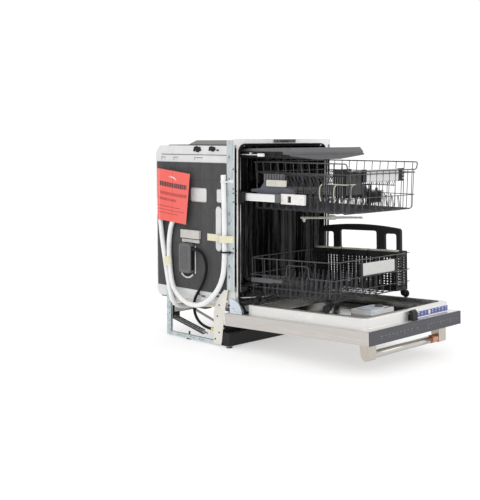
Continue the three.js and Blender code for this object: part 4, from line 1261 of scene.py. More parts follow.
# ---- rack rails ----
def add_rack_rails():
    for side in ("left", "right"):
        dress(f"third_rail_{side}", ALUMINIUM, 0.5)
        dress(f"upper_rail_{side}", BLACK, 0.6)
    stop = Form().box(24, 33, -34, 14, 612, 651)
    stop.box(22, 25, -30, 10, 606, 612)
    show_pair("upper_rail_stop", stop, BLACK, "cabinet", "black_plastic", bevel=1.2)
    member = span("rail_member_left")
    x, height = member.x0, member.z1 - member.z0
    outline = [(member.x1, member.z0), (member.x1, member.z1), (x + 2, member.z1)]
    for step in range(1, 6):
        z = member.z1 - height * step / 6
        outline += [(x + 2 if step % 2 == 0 else x, z + 2.4), (x + (2.6 if step % 2 else 0), z + 0.6)]
    outline.append((x + 2, member.z0))
    rail = Form().prism(outline, member.y0 + 22, member.y1, "y")
    end = Form().box(x - 0.2, member.x1, member.y0, member.y0 + 22, member.z0 - 1.5, member.z1 + 1.5)
    for z in spread(member.z0 + 2, member.z1 - 2, 5):
        end.box(x - 1.2, x, member.y0 + 6, member.y0 + 20, z - 1, z + 1)
    show_pair("rail_profile", rail, RAIL_WHITE, "rail_members", "aluminium", None, ["rail_member"], sharp=20)
    show_pair("rail_end", end, SLATE, "rail_members", "grey_plastic", bevel=0.6)


# ---- third rack ----
def skirt(outline, section, height):
    """A section of (out, z) points carried round a closed outline of (x, y) points, raised by height(y)."""
    rings = []
    count = len(outline)
    for i, (x, y) in enumerate(outline):
        before, after = outline[i - 1], outline[(i + 1) % count]
        along = Vector((after[0] - before[0], after[1] - before[1], 0)).normalized()
        out = Vector((along.y, -along.x, 0))
        rings.append([Vector((x, y, z + height(y))) + out * offset for offset, z in section])
    return Form().rings(rings, closed=True)


TRAY = span("third_rack_tray")._replace(x0=60, x1=WIDTH - 60)
WELL = (232, WIDTH - 232)  # the tray's lower middle part


def add_tray_rim():
    """A bevelled rim, a little lower along the sides than at the front."""
    x0, x1, y0, y1 = TRAY[:4]
    top = TRAY.z1

    def lower_behind(y):
        return -9.0 * min(1.0, max(0.0, (y - y0 - 26) / 12))
    section = [(-4, 801), (0, 803), (0, 812), (-13, top + 5), (-17, top + 5), (-17, top + 3), (-6, 810),
               (-7, 801)]
    rim = skirt(rounded_rectangle(x0, x1, y0, y1, 24, 6), section, lower_behind)
    show("tray_rim", rim, TRAY_GREY, "third_rack", "grey_plastic", replaces=["third_rack_tray"], sharp=25)


def add_tray_floor():
    """A slotted floor with a well in the middle and a sloping apron at the front, and rows of dividers."""
    x0, x1, y0, y1 = TRAY[:4]
    left, right = WELL
    section = [(x0 + 5, 801), (left - 4, 801), (left + 3, 781), (right - 3, 781), (right + 4, 801),
               (x1 - 5, 801), (x1 - 5, 803.5), (right + 1, 803.5), (right - 5, 783.5), (left + 5, 783.5),
               (left - 1, 803.5), (x0 + 5, 803.5)]
    floor = Form().prism(section, y0 + 4, y1 - 4, "y")
    end = [(left - 3, 802), (left + 4, 781.5), (right - 4, 781.5), (right + 3, 802)]
    for y in (y0 + 3.2, y1 - 5.6):
        floor.prism(end, y, y + 2.4, "y")
    apron = [(x0 + 6, 797), (left - 4, 781), (right + 4, 781), (x1 - 6, 797), (x1 - 6, 802), (x0 + 6, 802)]
    floor.prism(apron, y0 + 2.2, y0 + 4.4, "y")
    slots = Form()
    rows = ((x0 + 26, x0 + 88), (x0 + 100, left - 12), (right + 12, x1 - 100), (x1 - 88, x1 - 26))
    for y in spread(y0 + 30, y1 - 30, 16):
        for a, b in rows:
            slots.box(a, b, y - 4, y + 4, 795, 810)
        slots.box(left + 14, right - 14, y - 4, y + 4, 775, 790)
    show("tray_floor", floor, TRAY_GREY, "third_rack", "grey_plastic", holes=slots)
    dividers = Form()
    for y in spread(y0 + 22, y1 - 22, 17):
        for a, b in ((x0 + 20, left - 8), (right + 8, x1 - 20)):
            dividers.prism([(a, 803), (b, 803), (b, 809), (a + 8, 815), (a, 813)], y - 0.8, y + 0.8, "y")
    show("tray_dividers", dividers, TRAY_GREY, "third_rack", "grey_plastic")


def add_tray_sides():
    """Black side walls with recesses, and the runners on them with their pale tips."""
    x0, y0, y1 = TRAY.x0, TRAY.y0, TRAY.y1
    side = Form().box(x0 - 6, x0 - 0.8, y0 + 36, y1 - 6, 792, 814)
    recess = Form()
    for a in spread(y0 + 42, y1 - 40, 7):
        recess.box(x0 - 10, x0 - 3, a, a + 26, 796, 810)
    runner = Form().box(33, 38, -101, y1 - 6, 799, 802.5).box(38, x0 - 5, -60, -50, 799, 809)
    runner.box(38, x0 - 5, 170, 180, 799, 809)
    tip = Form().box(31.5, 39, -133, -100, 794, 806)
    show_pair("tray_side", side, BLACK, "third_rack", "grey_plastic", recess, bevel=0.6)
    show_pair("tray_runner", runner, ALUMINIUM, "third_rack", "aluminium", bevel=0.6)
    show_pair("tray_runner_tip", tip, WHITE, "third_rack", "pale_plastic", bevel=0.6)


# ---- wire racks ----
RAIL_R, RIB_R, TINE_R = 2.35, 1.55, 1.4
# The boxes of the wires. The lower rack's is drawn as it stands on the leaning door.
UPPER = Span(84, WIDTH - 64, -512, -27, 581, 771)
LOWER = Span(60, WIDTH - 66, -486, -34, 225, 379)


def loop(x0, x1, y0, y1, z, r, bend, front_z=None):
    """A closed ring of wire; its front stretch may lie at another height."""
    front_z = z if front_z is None else front_z
    points = [(x0, y1, z), (x0, y0 + 3, z), (x0 + 3, y0, front_z), (x1 - 8, y0, front_z),
              (x1 - 2, y0, z - 4), (x1, y0 + 6, z), (x1, y1, z)]
    if front_z == z:
        points = [(x0, y1, z), (x0, y0, z), (x1, y0, z), (x1, y1, z)]
    return Form().wire(points, r, 8, bend, closed=True)


def tine_row(x, ys, foot, tall, lean=0.0):
    """A row of upright tines, bent from one wire in narrow loops on a base wire."""
    row = Form().wire([(x, ys[0] - 6, foot), (x, ys[-1] + 6, foot)], TINE_R, 6)
    for y in ys:
        row.wire([(x, y - 3.4, foot), (x + lean, y - 2.2, foot + tall - 4), (x + lean, y, foot + tall),
                  (x + lean, y + 2.2, foot + tall - 4), (x, y + 3.4, foot)], TINE_R, 6, 3)
    return row


def add_upper_wires():
    """Three loops of thick wire, the ribs bent up from the floor between them, and rows of tines."""
    x0, x1, y0, y1, low, top = UPPER
    front_top = 742
    wires = loop(x0, x1, y0, y1, top, RAIL_R, 12, front_top)
    wires.add(loop(x0 + 3, x1 - 3, y0 + 2, y1 - 2, 730, RAIL_R * 0.8, 18))
    wires.add(loop(x0 + 5, x1 - 5, y0 + 3, y1 - 3, 640, RIB_R, 18))
    show("upper_rack_rails", wires, WIRE, "upper_rack", "wire_plastic", replaces=["upper_rack_basket"],
         sharp=80)
    ribs = Form()
    for y in spread(y1 - 14, y0 + 24, 12):
        ribs.wire([(x0 - 1, y, top + 1), (x0 + 2, y, 742), (x0 + 7, y, 722), (x0 + 7, y, low),
                   (x1 - 4, y, low), (x1 - 4, y, 722), (x1 - 2, y, 742), (x1 + 1, y, top + 1)], RIB_R, 6, 14)
    for x in spread(x0 + 22, x1 - 22, 11):
        hoop = [(x, y1, 732), (x, y1 - 5, low + 3), (x, y0 + 7, low + 3), (x, y0 + 3, front_top + 1)]
        ribs.wire(hoop, RIB_R, 6, 14)
    for x in spread(x0 + 40, x1 - 40, 18):
        ribs.wire([(x, y1 - 8, low + 3.2), (x, y0 + 10, low + 3.2)], RIB_R * 0.9, 6)
    for y in (y0 + 40, y0 + 86, y0 + 150, y0 + 230, y0 + 320, y0 + 410):
        ribs.wire([(x0 + 60, y, low + 6.4), (x0 + 60, y, low - 1), (x0 + 150, y, low - 3),
                   (x1 - 60, y, low - 3)], RIB_R, 6, 5)
    show("upper_rack_ribs", ribs, WIRE, "upper_rack", "wire_plastic", sharp=80)
    tines = Form()
    rows = ((124, 52, 10), (176, 64, 12), (262, 66, -8), (330, 58, 8), (398, 60, 8), (466, 50, -10))
    for x, tall, lean in rows:
        tines.add(tine_row(x, spread(y0 + 34, y1 - 34, 15), low + 6, tall, lean))
    show("upper_rack_tines", tines, WIRE, "upper_rack", "wire_plastic", sharp=80)


def add_cup_shelves():
    """Folding shelves along both sides of the upper rack, hinged on ringed rods."""
    shelf = Form().wire([(97, -60, 724), (97, -470, 724)], 2.4, 8)
    for y in spread(-80, -440, 19):
        shelf.wire([(97, y, 727), (112, y - 4, 716), (134, y - 4, 678), (136, y + 4, 676), (114, y + 4, 714),
                    (97, y + 8, 727)], 1.3, 6, 6)
    shelf.wire([(135, -70, 677), (135, -455, 677)], 1.8, 6)
    show_pair("cup_shelf", shelf, WIRE, "upper_rack", "wire_plastic", sharp=80)
    arm = Form().rod((96, -402, 722), (96, -486, 716), 4.2, 12)
    show("cup_shelf_rod", arm, GREY, "upper_rack", "grey_plastic")


def add_holder():
    """The black holder at the upper rack's front left, with its ribs, pale posts and hooks."""
    body = Form().box(88, 94, -496, -440, 642, 748).box(90, 196, -497, -489, 642, 736)
    body.box(90, 128, -497, -487, 736, 752).box(150, 172, -498, -486, 736, 744)
    gaps = Form()
    for x in spread(100, 186, 9):
        gaps.box(x - 3, x + 3, -505, -480, 640, 652)
    for y in spread(-484, -450, 4):
        gaps.box(80, 100, y - 3, y + 3, 640, 652)
    show("holder_body", body, BLACK, "upper_rack", "black_plastic", bevel=1.0, holes=gaps)
    ribs = Form()
    for x in spread(98, 190, 13):
        ribs.wire([(x, -499, 654), (x, -500, 690), (x, -499, 728)], 1.5, 6)
    for y in spread(-488, -400, 9):
        ribs.wire([(87, y, 652), (86, y, 690), (87, y, 722)], 1.5, 6)
    show("holder_ribs", ribs, GREY, "upper_rack", "grey_plastic", sharp=80)
    posts = Form()
    for x, y in ((84, -388), (84, -458), (128, -503)):
        posts.wire([(x, y + 2, 628), (x - 2, y + 8, 650), (x - 2, y + 6, 682), (x, y - 3, 692)], 2.5, 8, 10)
    posts.wire([(85, -420, 694), (85, -500, 693), (146, -504, 693)], 2.2, 8, 8)
    show("holder_posts", posts, BEIGE, "upper_rack", "pale_plastic", sharp=80)
    clip = Form()
    for x in (196, 214, 226):
        clip.wire([(x, -500, 690), (x + 14, -502, 690), (x + 16, -502, 684), (x + 16, -500, 596)], 2.0, 8, 4)
    clip.box(190, 208, -500, -492, 640, 684)
    show("holder_hooks", clip, BLACK, "upper_rack", "black_plastic", bevel=0.4)


def add_caddy():
    """The small grooved caddy behind the upper rack's front wires."""
    caddy = Form().box(240, 322, -494, -484, 618, 662)
    for x in (246, 292, 300):
        caddy.lathe((x, -489, 662), [(2.4, 0), (2.4, 8), (3.4, 10), (1.4, 14)], "z", 10)
    grooves = Form()
    for x in spread(250, 312, 7):
        grooves.box(x - 2, x + 2, -500, -491, 624, 656)
    show("rack_caddy", caddy, BLACK, "upper_rack", "black_plastic", bevel=0.8, holes=grooves)


def grip(name, node, body, space, caps, shift):
    """A speckled plate on a rack's front with dark clips at its ends."""
    plate = span(node, space)
    x0, x1 = plate.x0 + shift, plate.x1 + shift
    section = [(plate.y0 + 2.5, plate.z0), (plate.y0, plate.z0 + 3), (plate.y0, plate.z1 - 3),
               (plate.y0 + 2.5, plate.z1), (plate.y1, plate.z1), (plate.y1, plate.z1 - 4),
               (plate.y0 + 4, plate.z1 - 5), (plate.y0 + 4, plate.z0 + 5), (plate.y1, plate.z0 + 4),
               (plate.y1, plate.z0)]
    form = Form().prism(section, x0, x1, "x")
    show(f"{name}_plate", form, SPECKLED, body, "pale_plastic", space, replaces=[node], bevel=0.5)
    clips = Form()
    for start, end in ((x0 - caps[0], x0), (x1, x1 + caps[1])):
        clips.box(start, end, plate.y0 + 0.5, plate.y1 + 2, plate.z0 - 1, plate.z1 + 1)
    tip = x1 + caps[1]
    for z in spread(plate.z0 + 3, plate.z1 - 3, 4):
        clips.lathe((tip, plate.y0 + 5, z), [(4.6, 0), (4.6, 9), (2.8, 13)], "x", 12)
    show(f"{name}_clips", clips, GREY_DARK, body, "black_plastic", space, bevel=1.0)


def add_slide_carriers():
    """Pale carriers that run in the rails, and the slate-blue height adjusters with their release tabs."""
    carrier = Form().box(44.5, 57, -335, -215, 610, 650)
    slot = Form().box(40, 52, -268, -250, 617, 642)
    slot.lathe((44, -323, 632), [(2.2, -3), (2.2, 5)], "x", 12)
    for y in (-318, -290):
        slot.box(42, 48, y - 3, y + 3, 605, 612.5).box(42, 48, y - 3, y + 3, 647.5, 655)
    lock = Form().box(49.5, 52.4, -267.6, -250.4, 617.4, 641.6)
    outline = [(-78, 628), (-262, 628), (-262, 650), (-248, 668), (-226, 674), (-134, 700), (-118, 700),
               (-92, 668), (-62, 664), (-40, 662), (-40, 652), (-78, 650)]
    adjuster = Form().prism(outline, 58, 80, "x")
    texture = Form()
    for y in spread(-255, -90, 16):
        texture.box(56, 59, y - 2.4, y + 2.4, 640 + 5 * math.sin(y), 660)
    tower = Form()
    for y in spread(-200, -112, 7):
        tower.prism([(y - 5, 676), (y + 5, 676), (y + 4, 726), (y - 4, 726)], 62, 78, "x")
    tower.box(66, 80, -206, -106, 676, 724)
    tab = Form().prism(rounded_rectangle(-234, -130, 677, 702, 3), 52, 58, "x")
    dots = Form()
    for z in (684, 693):
        dots.lathe((52.6, -178, z), [(2.1, -3), (2.1, 3)], "x", 10)
    pieces = (("slide_carrier", carrier, WHITE, "pale_plastic", slot),
              ("carrier_lock", lock, BLACK, "grey_plastic", None),
              ("height_adjuster", adjuster, SLATE_BLUE, "grey_plastic", texture),
              ("adjuster_tower", tower, GREY, "grey_plastic", None),
              ("adjuster_tab", tab, IVORY, "pale_plastic", dots))
    for name, form, material, slot_name, holes in pieces:
        show_pair(name, form, material, "upper_rack", slot_name, holes, bevel=0.8)


def add_middle_arm():
    centre = Vector((MID, -262, 545))
    arm = spray_arm(centre - Vector((0, 0, 1)), reach=127, turn=-45, thick=10, hub=20, jets=6)
    show("middle_arm_blades", arm, IVORY, "middle_arm", "pale_plastic", replaces=["middle_spray_arm"])
    blade, nozzle_at = math.radians(135), 112
    tip = centre + Vector((math.cos(blade), math.sin(blade), 0)) * nozzle_at
    cone = Form().lathe((tip.x, tip.y, centre.z - 20), [(1.5, 0), (4, 2), (9, 14), (9, 17)], "z", 20)
    show("middle_arm_nozzle", cone, IVORY, "middle_arm", "pale_plastic")
    feed = Form().lathe((MID, centre.y, 0), [(12, 558), (14, 561), (14, 568), (11, 572), (11, 582)], "z", 24)
    feed.box(MID - 9, MID + 9, centre.y, -34, 565, 579)
    feed.lathe((MID, -37, 572), [(9, 12), (13, 8), (13, -2), (10, -6)], "y", 20)
    show("middle_arm_feed", feed, GREY, "upper_rack", "grey_plastic", bevel=1.0)


def add_lower_wires():
    """Loops, ribs and tines like the upper rack's, with a raised stretch in the middle loop's left side."""
    x0, x1, y0, y1, low, top = LOWER
    rails = loop(x0, x1, y0, y1, top, RAIL_R, 40)
    rails.add(loop(x0 + 2, x1 - 2, y0 + 2, y1 - 2, 262, RIB_R, 36))
    belt = [(x0 + 2, y1 - 2, 311), (x0 + 2, -238, 311), (x0 + 2, -240, 358), (x0 + 2, -352, 358),
            (x0 + 2, -354, 311), (x0 + 2, y0, 311), (x1 - 2, y0, 311), (x1 - 2, y1 - 2, 311)]
    rails.wire(belt, 2.0, 8, 10, closed=True)
    show("lower_rack_rails", rails, WIRE, "lower_rack", "wire_coat", LEANING, ["lower_rack_basket"],
         sharp=80)
    ribs = Form()
    for y in spread(y1 - 20, y0 + 30, 7):
        ribs.wire([(x0, y, top), (x0 + 3, y, low), (x1 - 3, y, low), (x1, y, top)], RIB_R, 6, 16)
    for x in spread(x0 + 34, x1 - 34, 10):
        ribs.wire([(x, y1, top), (x, y1 - 3, low + 3), (x, y0 + 3, low + 3), (x, y0, top)], RIB_R, 6, 16)
    for y in spread(y1 - 44, y0 + 44, 16):
        ribs.wire([(x0 + 8, y, low + 0.2), (x1 - 8, y, low + 0.2)], RIB_R * 0.9, 6)
    for z in (380, 312, 262):
        ribs.wire([(x1 - 8, y0 + 26, z), (x1 + 4, y0 - 4, z), (x1 - 10, y0 + 1, z)], RIB_R, 6, 4)
    show("lower_rack_ribs", ribs, WIRE, "lower_rack", "wire_coat", LEANING, sharp=80)
    tines = Form()
    rows = ((104, 76, 14), (156, 70, -12), (232, 78, 14), (284, 72, -12), (356, 78, 14), (408, 70, -12))
    for x, tall, lean in rows:
        tines.add(tine_row(x, spread(y0 + 40, y1 - 36, 16), low + 5, tall, lean))
    show("lower_rack_tines", tines, WIRE, "lower_rack", "wire_coat", LEANING, sharp=80)
    bars = Form().box(x0 - 0.5, x0 + 3.5, -164, -44, 280, 299)
    bars.box(x0 - 0.5, x0 + 3.5, -214, -164, 284, 297)
    show("lower_rack_side_guides", bars, GREY_LIGHT, "lower_rack", "wire_coat", LEANING, bevel=1.2)


def add_wheels():
    for name in ("front_left", "front_right", "rear_left", "rear_right"):
        end, side = name.split("_")
        body = f"wheel_{end[0]}{side[0]}"
        box = span(f"wheel_{name}", LEANING)
        y, z = (box.y0 + box.y1) / 2, (box.z0 + box.z1) / 2
        start, out = (box.x0, 1) if side == "left" else (box.x1, -1)
        profile = [(5, 1), (8, 0), (13.4, 0), (15.4, 1.4), (15.9, 3), (15.9, 9), (15.4, 10.6), (13.4, 12),
                   (7, 12), (6, 13), (6, box.x1 - box.x0 - 0.4), (2, box.x1 - box.x0)]
        wheel = Form().lathe((start, y, z), [(r, h * out) for r, h in profile], "x", 40)
        dents = Form()
        for a in round_angles(8):
            dents.lathe((start, y + 10.4 * math.cos(a), z + 10.4 * math.sin(a)),
                        [(2.3, -3 * out), (2.3, 2.6 * out)], "x", 10)
        show(f"{body}_tyre", wheel, BLACK, body, "black_plastic", LEANING, replaces=[f"wheel_{name}"],
             sharp=28, holes=dents)
    carriers = Form()
    for y in (-455, -85):
        fork = [(y - 16, 238), (y - 11, 204), (y - 5, 198), (y + 5, 198), (y + 11, 204), (y + 16, 238)]
        carriers.prism(fork, 57.8, 64, "x")
        carriers.box(57.8, 70, y - 18, y + 18, 232, 242)
    show_pair("wheel_carriers", carriers, BLACK, "lower_rack", "black_plastic", space=LEANING, bevel=0.8)


# ---- silverware basket ----
def perforated(u_lines, v_lines, place):
    """A plate of cells between the lines, with a hole in every second cell both ways."""
    form = Form()
    nu, nv = len(u_lines) - 1, len(v_lines) - 1
    index = {}

    def vertex(i, j, side):
        if (i, j, side) not in index:
            index[i, j, side] = len(form.verts)
            form.verts.append(Vector(place(u_lines[i], v_lines[j], side)))
        return index[i, j, side]

    def is_solid(i, j):
        return 0 <= i < nu and 0 <= j < nv and not (i % 2 and j % 2)
    for i in range(nu):
        for j in range(nv):
            if not is_solid(i, j):
                continue
            corners = [(i, j), (i + 1, j), (i + 1, j + 1), (i, j + 1)]
            form.faces.append(tuple(vertex(a, b, 1) for a, b in corners))
            form.faces.append(tuple(vertex(a, b, 0) for a, b in corners[::-1]))
            for k, (di, dj) in enumerate(((0, -1), (1, 0), (0, 1), (-1, 0))):
                if not is_solid(i + di, j + dj):
                    a, b = corners[k], corners[(k + 1) % 4]
                    form.faces.append((vertex(*a, 0), vertex(*b, 0), vertex(*b, 1), vertex(*a, 1)))
    return form


def hole_lines(start, end, count, share=0.55):
    """Lines for a row of holes: margins at both ends, holes taking a share of the pitch."""
    pitch = (end - start) / count
    lines = [start]
    for i in range(count):
        middle = start + pitch * (i + 0.5)
        lines += [middle - pitch * share / 2, middle + pitch * share / 2]
    return [*lines, end]


def add_silverware_basket():
    box = span("silverware_basket", LEANING)
    x0, x1, y0, y1, z0 = box.x0, box.x1, box.y0, box.y1, box.z0
    rim = 387
    cell = (y1 - y0) / 3
    walls = Form()
    for x, sign in ((x0 + 1, 1), (x1 - 1, -1)):
        for i in range(3):
            start, end = y0 + i * cell, y0 + (i + 1) * cell
            for part in range(2):
                a = start + 6 + part * (cell - 6) / 2
                b = start + (part + 1) * (cell - 6) / 2
                walls.add(perforated(hole_lines(a, b, 4, share=0.62),
                                     hole_lines(z0 + 12, rim - 22, 12, share=0.6),
                                     lambda u, v, side, x=x, sign=sign: (x - side * sign * 2, u, v)))
    for y, sign in ((y0 + 1, -1), (y0 + cell, 1), (y0 + 2 * cell, 1), (y1 - 1, 1)):
        walls.add(perforated(hole_lines(x0 + 3, x1 - 3, 6), hole_lines(z0 + 12, rim - 22, 12),
                             lambda u, v, side, y=y, sign=sign: (u, y - side * sign * 2, v)))
    walls.add(perforated(hole_lines(x0 + 2, x1 - 2, 6), hole_lines(y0 + 2, y1 - 2, 30),
                         lambda u, v, side: (u, v, z0 + 2.5 * side)))
    show("basket_grille", walls, BLACK, "lower_rack", "black_plastic", LEANING,
         replaces=["silverware_basket"])
    add_basket_frame(box, rim)
    add_basket_handle(box, rim)
    lid = Form()
    for i in range(3):
        start, end = y0 + i * cell + 5, y0 + (i + 1) * cell - 5
        steps = 14
        edge = [(x0 + 5 - 2.2 * math.sin(math.pi * 3 * k / steps), start + (end - start) * k / steps)
                for k in range(steps + 1)]
        lid.prism([*edge, (x0 + 30, end), (x0 + 30, start)], rim + 0.5, rim + 6.5, "z")
    show("basket_lids", lid, BEIGE, "lower_rack", "pale_plastic", LEANING, bevel=0.8)


def add_basket_frame(box, rim):
    """Solid bands at the top and bottom, and posts between them."""
    x0, x1, y0, y1, z0 = box.x0, box.x1, box.y0, box.y1, box.z0
    cell = (y1 - y0) / 3
    bars = Form()
    for low, high in ((rim - 24, rim), (z0, z0 + 14)):
        for x in (x0, x1 - 3):
            bars.box(x, x + 3, y0, y1, low, high)
        for y in (y0, y0 + cell - 2, y0 + 2 * cell - 2, y1 - 3):
            bars.box(x0, x1, y, y + 3.4, low, high)
    for x in (x0, x1 - 3.4):
        for i in range(7):
            y = y0 + i * cell / 2 - (0 if i == 0 else 6 if i == 6 else 4)
            bars.box(x, x + 3.4, y, y + (6 if i in (0, 6) else 8), z0 + 8, rim - 10)
    show("basket_frame", bars, BLACK, "lower_rack", "black_plastic", LEANING, bevel=0.7)


def add_basket_handle(box, rim):
    """A carrying frame along the middle: a low arch with one wide window and two narrow ones."""
    middle = (box.x0 + box.x1) / 2
    y0, y1 = box.y0, box.y1
    crown, shoulder = 494.5, 480
    top = [(y0 + 6 + (y1 - y0 - 12) * t, shoulder + (crown - shoulder) * (1 - (2 * t - 1) ** 2))
           for t in spread(0, 1, 17)]
    outline = [(y0, rim - 8), (y0, shoulder - 8), *top, (y1, shoulder - 8), (y1, rim - 8)]
    arch = Form().prism(outline, middle - 6, middle + 6, "x")
    windows = Form()
    for start, end, high in ((y0 + 22, y0 + 80, 458), (y0 + 122, y0 + 316, 468), (y0 + 352, y1 - 30, 458)):
        windows.prism(rounded_rectangle(start, end, rim + 2, high, 9, 4), middle - 12, middle + 12, "x")
    for y in (y0 + 104, y1 - 112):
        windows.box(middle - 12, middle - 5, y, y + 1.6, rim - 8, crown + 4)
    show("basket_handle", arch, BLACK, "lower_rack", "black_plastic", LEANING, bevel=2.2, holes=windows)


def tray_grey():
    surface = Surface("tray_grey", (0.105, 0.106, 0.11), 0.36)
    surface.shade(surface.noise(30, 3.0), 0.12)
    surface.rough(surface.noise(90), 0.34, 0.5)
    return surface.bump(surface.noise(900, 2.0), 0.12, 0.0004).material


def speckled():
    """Pale moulded plastic with fine grey flecks."""
    surface = Surface("speckled_plastic", (0.60, 0.60, 0.59), 0.5)
    surface.tint(surface.remap(surface.noise(420, 2.0), 0.0, 0.8, 0.52, 0.66), (0.36, 0.36, 0.36))
    surface.rough(surface.noise(120), 0.4, 0.6)
    return surface.bump(surface.noise(700, 2.0), 0.15, 0.0004).material


TRAY_GREY = tray_grey()
SPECKLED = speckled()
RAIL_WHITE = brushed("rail_white", (0.86, 0.86, 0.85), 0.35, "y", depth=0.08, metallic=0.35)
GREY_DARK = moulded("dark_clip", (0.014, 0.014, 0.015), 0.45, specular=0.25)
GREY_LIGHT = moulded("guide_grey", (0.085, 0.088, 0.095), 0.45)
SLATE_BLUE = moulded("slate_blue", (0.085, 0.092, 0.115), 0.5)
IVORY = moulded("ivory_plastic", (0.62, 0.60, 0.53), 0.45)
add_rack_rails()
add_tray_rim()
add_tray_floor()
add_tray_sides()
add_upper_wires()
add_cup_shelves()
add_holder()
add_caddy()
add_slide_carriers()
add_middle_arm()
grip("upper_grip", "upper_rack_handle", "upper_rack", CABINET, caps=(20, 30), shift=9)
add_lower_wires()
grip("lower_grip", "lower_rack_handle", "lower_rack", LEANING, caps=(12, 12), shift=5)
add_wheels()
add_silverware_basket()


# ---- door ----
PANEL = span("door_outer_panel", LEANING)
LINER_SPAN = span("door_inner_liner", LEANING)
HOUSING = span("dispenser_housing", LEANING)
LID = span("dispenser_lid", LEANING)
CAP = span("rinse_cap", LEANING)
BAR = span("handle_bar", LEANING)
FERRULE = span("handle_ferrule", LEANING)
LATCH = span("door_latch", LEANING)
DECK = PANEL.z1 + 1.0
RIM = Span(28, WIDTH - 28, -656, -51, DECK, LINER_SPAN.z1)
RIM_WIDTH, PAN_FLOOR = 27, LINER_SPAN.z0 + 0.8


def mirror_steel():
    """Bright-rolled stainless sheet, almost a mirror, slightly wavy from the press. Its dark colour and
    darker streaks are painted reflections of the dark tub and racks above it.
    """
    surface = Surface("pan_steel", (0.34, 0.335, 0.325), 0.12, 1.0)
    waves = surface.noise(1.0, 2.0, 0.5, (9, 9, 9))
    surface.shade(surface.noise(1.0, 3.0, 0.6, (30, 4, 30)), 0.25)
    surface.rough(waves, 0.1, 0.24)
    return surface.bump(waves, 0.3, 0.004).material


PAN_STEEL = mirror_steel()
RIM_STEEL = brushed("rim_steel", (0.76, 0.75, 0.73), 0.34, "y", depth=0.07, metallic=0.7)
LID_BLUE = moulded("lid_plastic", (0.58, 0.67, 0.76), 0.3)
FIN_PAINT = painted("fin_zinc", (0.60, 0.66, 0.72), 0.4, peel=300, metallic=0.3)
MARK = painted("key_mark", (0.24, 0.24, 0.26), 0.6)
STRIP_BLUE = painted("strip_blue", (0.045, 0.085, 0.33), 0.45)
STRIP_PINK = painted("strip_pink", (0.72, 0.36, 0.42), 0.5)


def rim_ring(inset, z, r):
    x0, x1, y0, y1 = RIM.x0 + inset, RIM.x1 - inset, RIM.y0 + inset, RIM.y1 - inset
    r, tight = max(r, 1), max(r * 0.3, 1)
    outline = [*arc(x1 - r, y0 + r, r, -90, 0, 8), *arc(x1 - tight, y1 - tight, tight, 0, 90, 8),
               *arc(x0 + tight, y1 - tight, tight, 90, 180, 8), *arc(x0 + r, y0 + r, r, 180, 270, 8)]
    return [(x, y, z) for x, y in outline]


def add_liner():
    """The flange over the skin, the raised rim with rounded edges, and the shallow pan inside it."""
    rim = Form()
    flange = rounded_rectangle(2, WIDTH - 2, LINER_SPAN.y0, LINER_SPAN.y1, 4, 8)
    rings = [[(x, y, z) for x, y in flange] for z in (DECK - 0.8, DECK)]
    foot = [(-4.0, 0.0), (-2.0, 0.5), (-0.6, 1.8), (0.0, 4.2)]
    rings += [rim_ring(inset, DECK + rise, 26 - inset) for inset, rise in foot]
    rings += [rim_ring(5 - 5 * math.cos(a), RIM.z1 - 5 + 5 * math.sin(a), 26)
              for a in (math.radians(d) for d in (0, 25, 50, 75, 90))]
    w = RIM_WIDTH
    rings += [rim_ring(w - 3, RIM.z1, 21), rim_ring(w - 1, RIM.z1 - 0.6, 20), rim_ring(w, RIM.z1 - 3, 19)]
    rim.rings(rings, caps=False)
    show("liner_rim", rim, RIM_STEEL, "door", "liner_steel", LEANING, replaces=["door_inner_liner"],
         sharp=50)
    pan = Form()
    rings = [rim_ring(w, RIM.z1 - 3, 19), rim_ring(w + 1, PAN_FLOOR + 8, 18)]
    rings += [rim_ring(w + 1 + 8 * math.sin(a), PAN_FLOOR + 8 - 8 * math.cos(a), 18)
              for a in (math.radians(d) for d in (20, 45, 70, 90))]
    pan.rings([ring[::-1] for ring in rings][::-1], caps=False)
    count = len(rings[-1])
    pan.put(rings[-1], [tuple(range(count))])
    show("liner_pan", pan, PAN_STEEL, "door", "liner_steel", LEANING, sharp=40)


def add_pan_details():
    """Pressed stiffening steps in the pan's floor, and a drip channel bead along the rim's inner edge."""
    steps = Form()
    for x0, x1, y0, y1 in ((90, 270, -560, -330), (90, 270, -300, -110), (330, 512, -330, -110)):
        outer = rounded_rectangle(x0, x1, y0, y1, 24)
        inner = rounded_rectangle(x0 + 7, x1 - 7, y0 + 7, y1 - 7, 18)
        edges = ((outer, 0.2), (inner, 2.6))
        steps.rings([[(x, y, PAN_FLOOR + rise) for x, y in edge] for edge, rise in edges])
    show("pan_steps", steps, PAN_STEEL, "door", "liner_steel", LEANING, sharp=40)
    lip = Form()
    bead = rounded_rectangle(RIM.x0 + RIM_WIDTH - 1, RIM.x1 - RIM_WIDTH + 1, RIM.y0 + RIM_WIDTH - 1,
                             RIM.y1 - RIM_WIDTH + 1, 20, 8)
    lip.wire([(x, y, RIM.z1 - 0.6) for x, y in bead], 1.5, 8, closed=True)
    show("pan_seal", lip, RUBBER, "door", "rubber", LEANING)


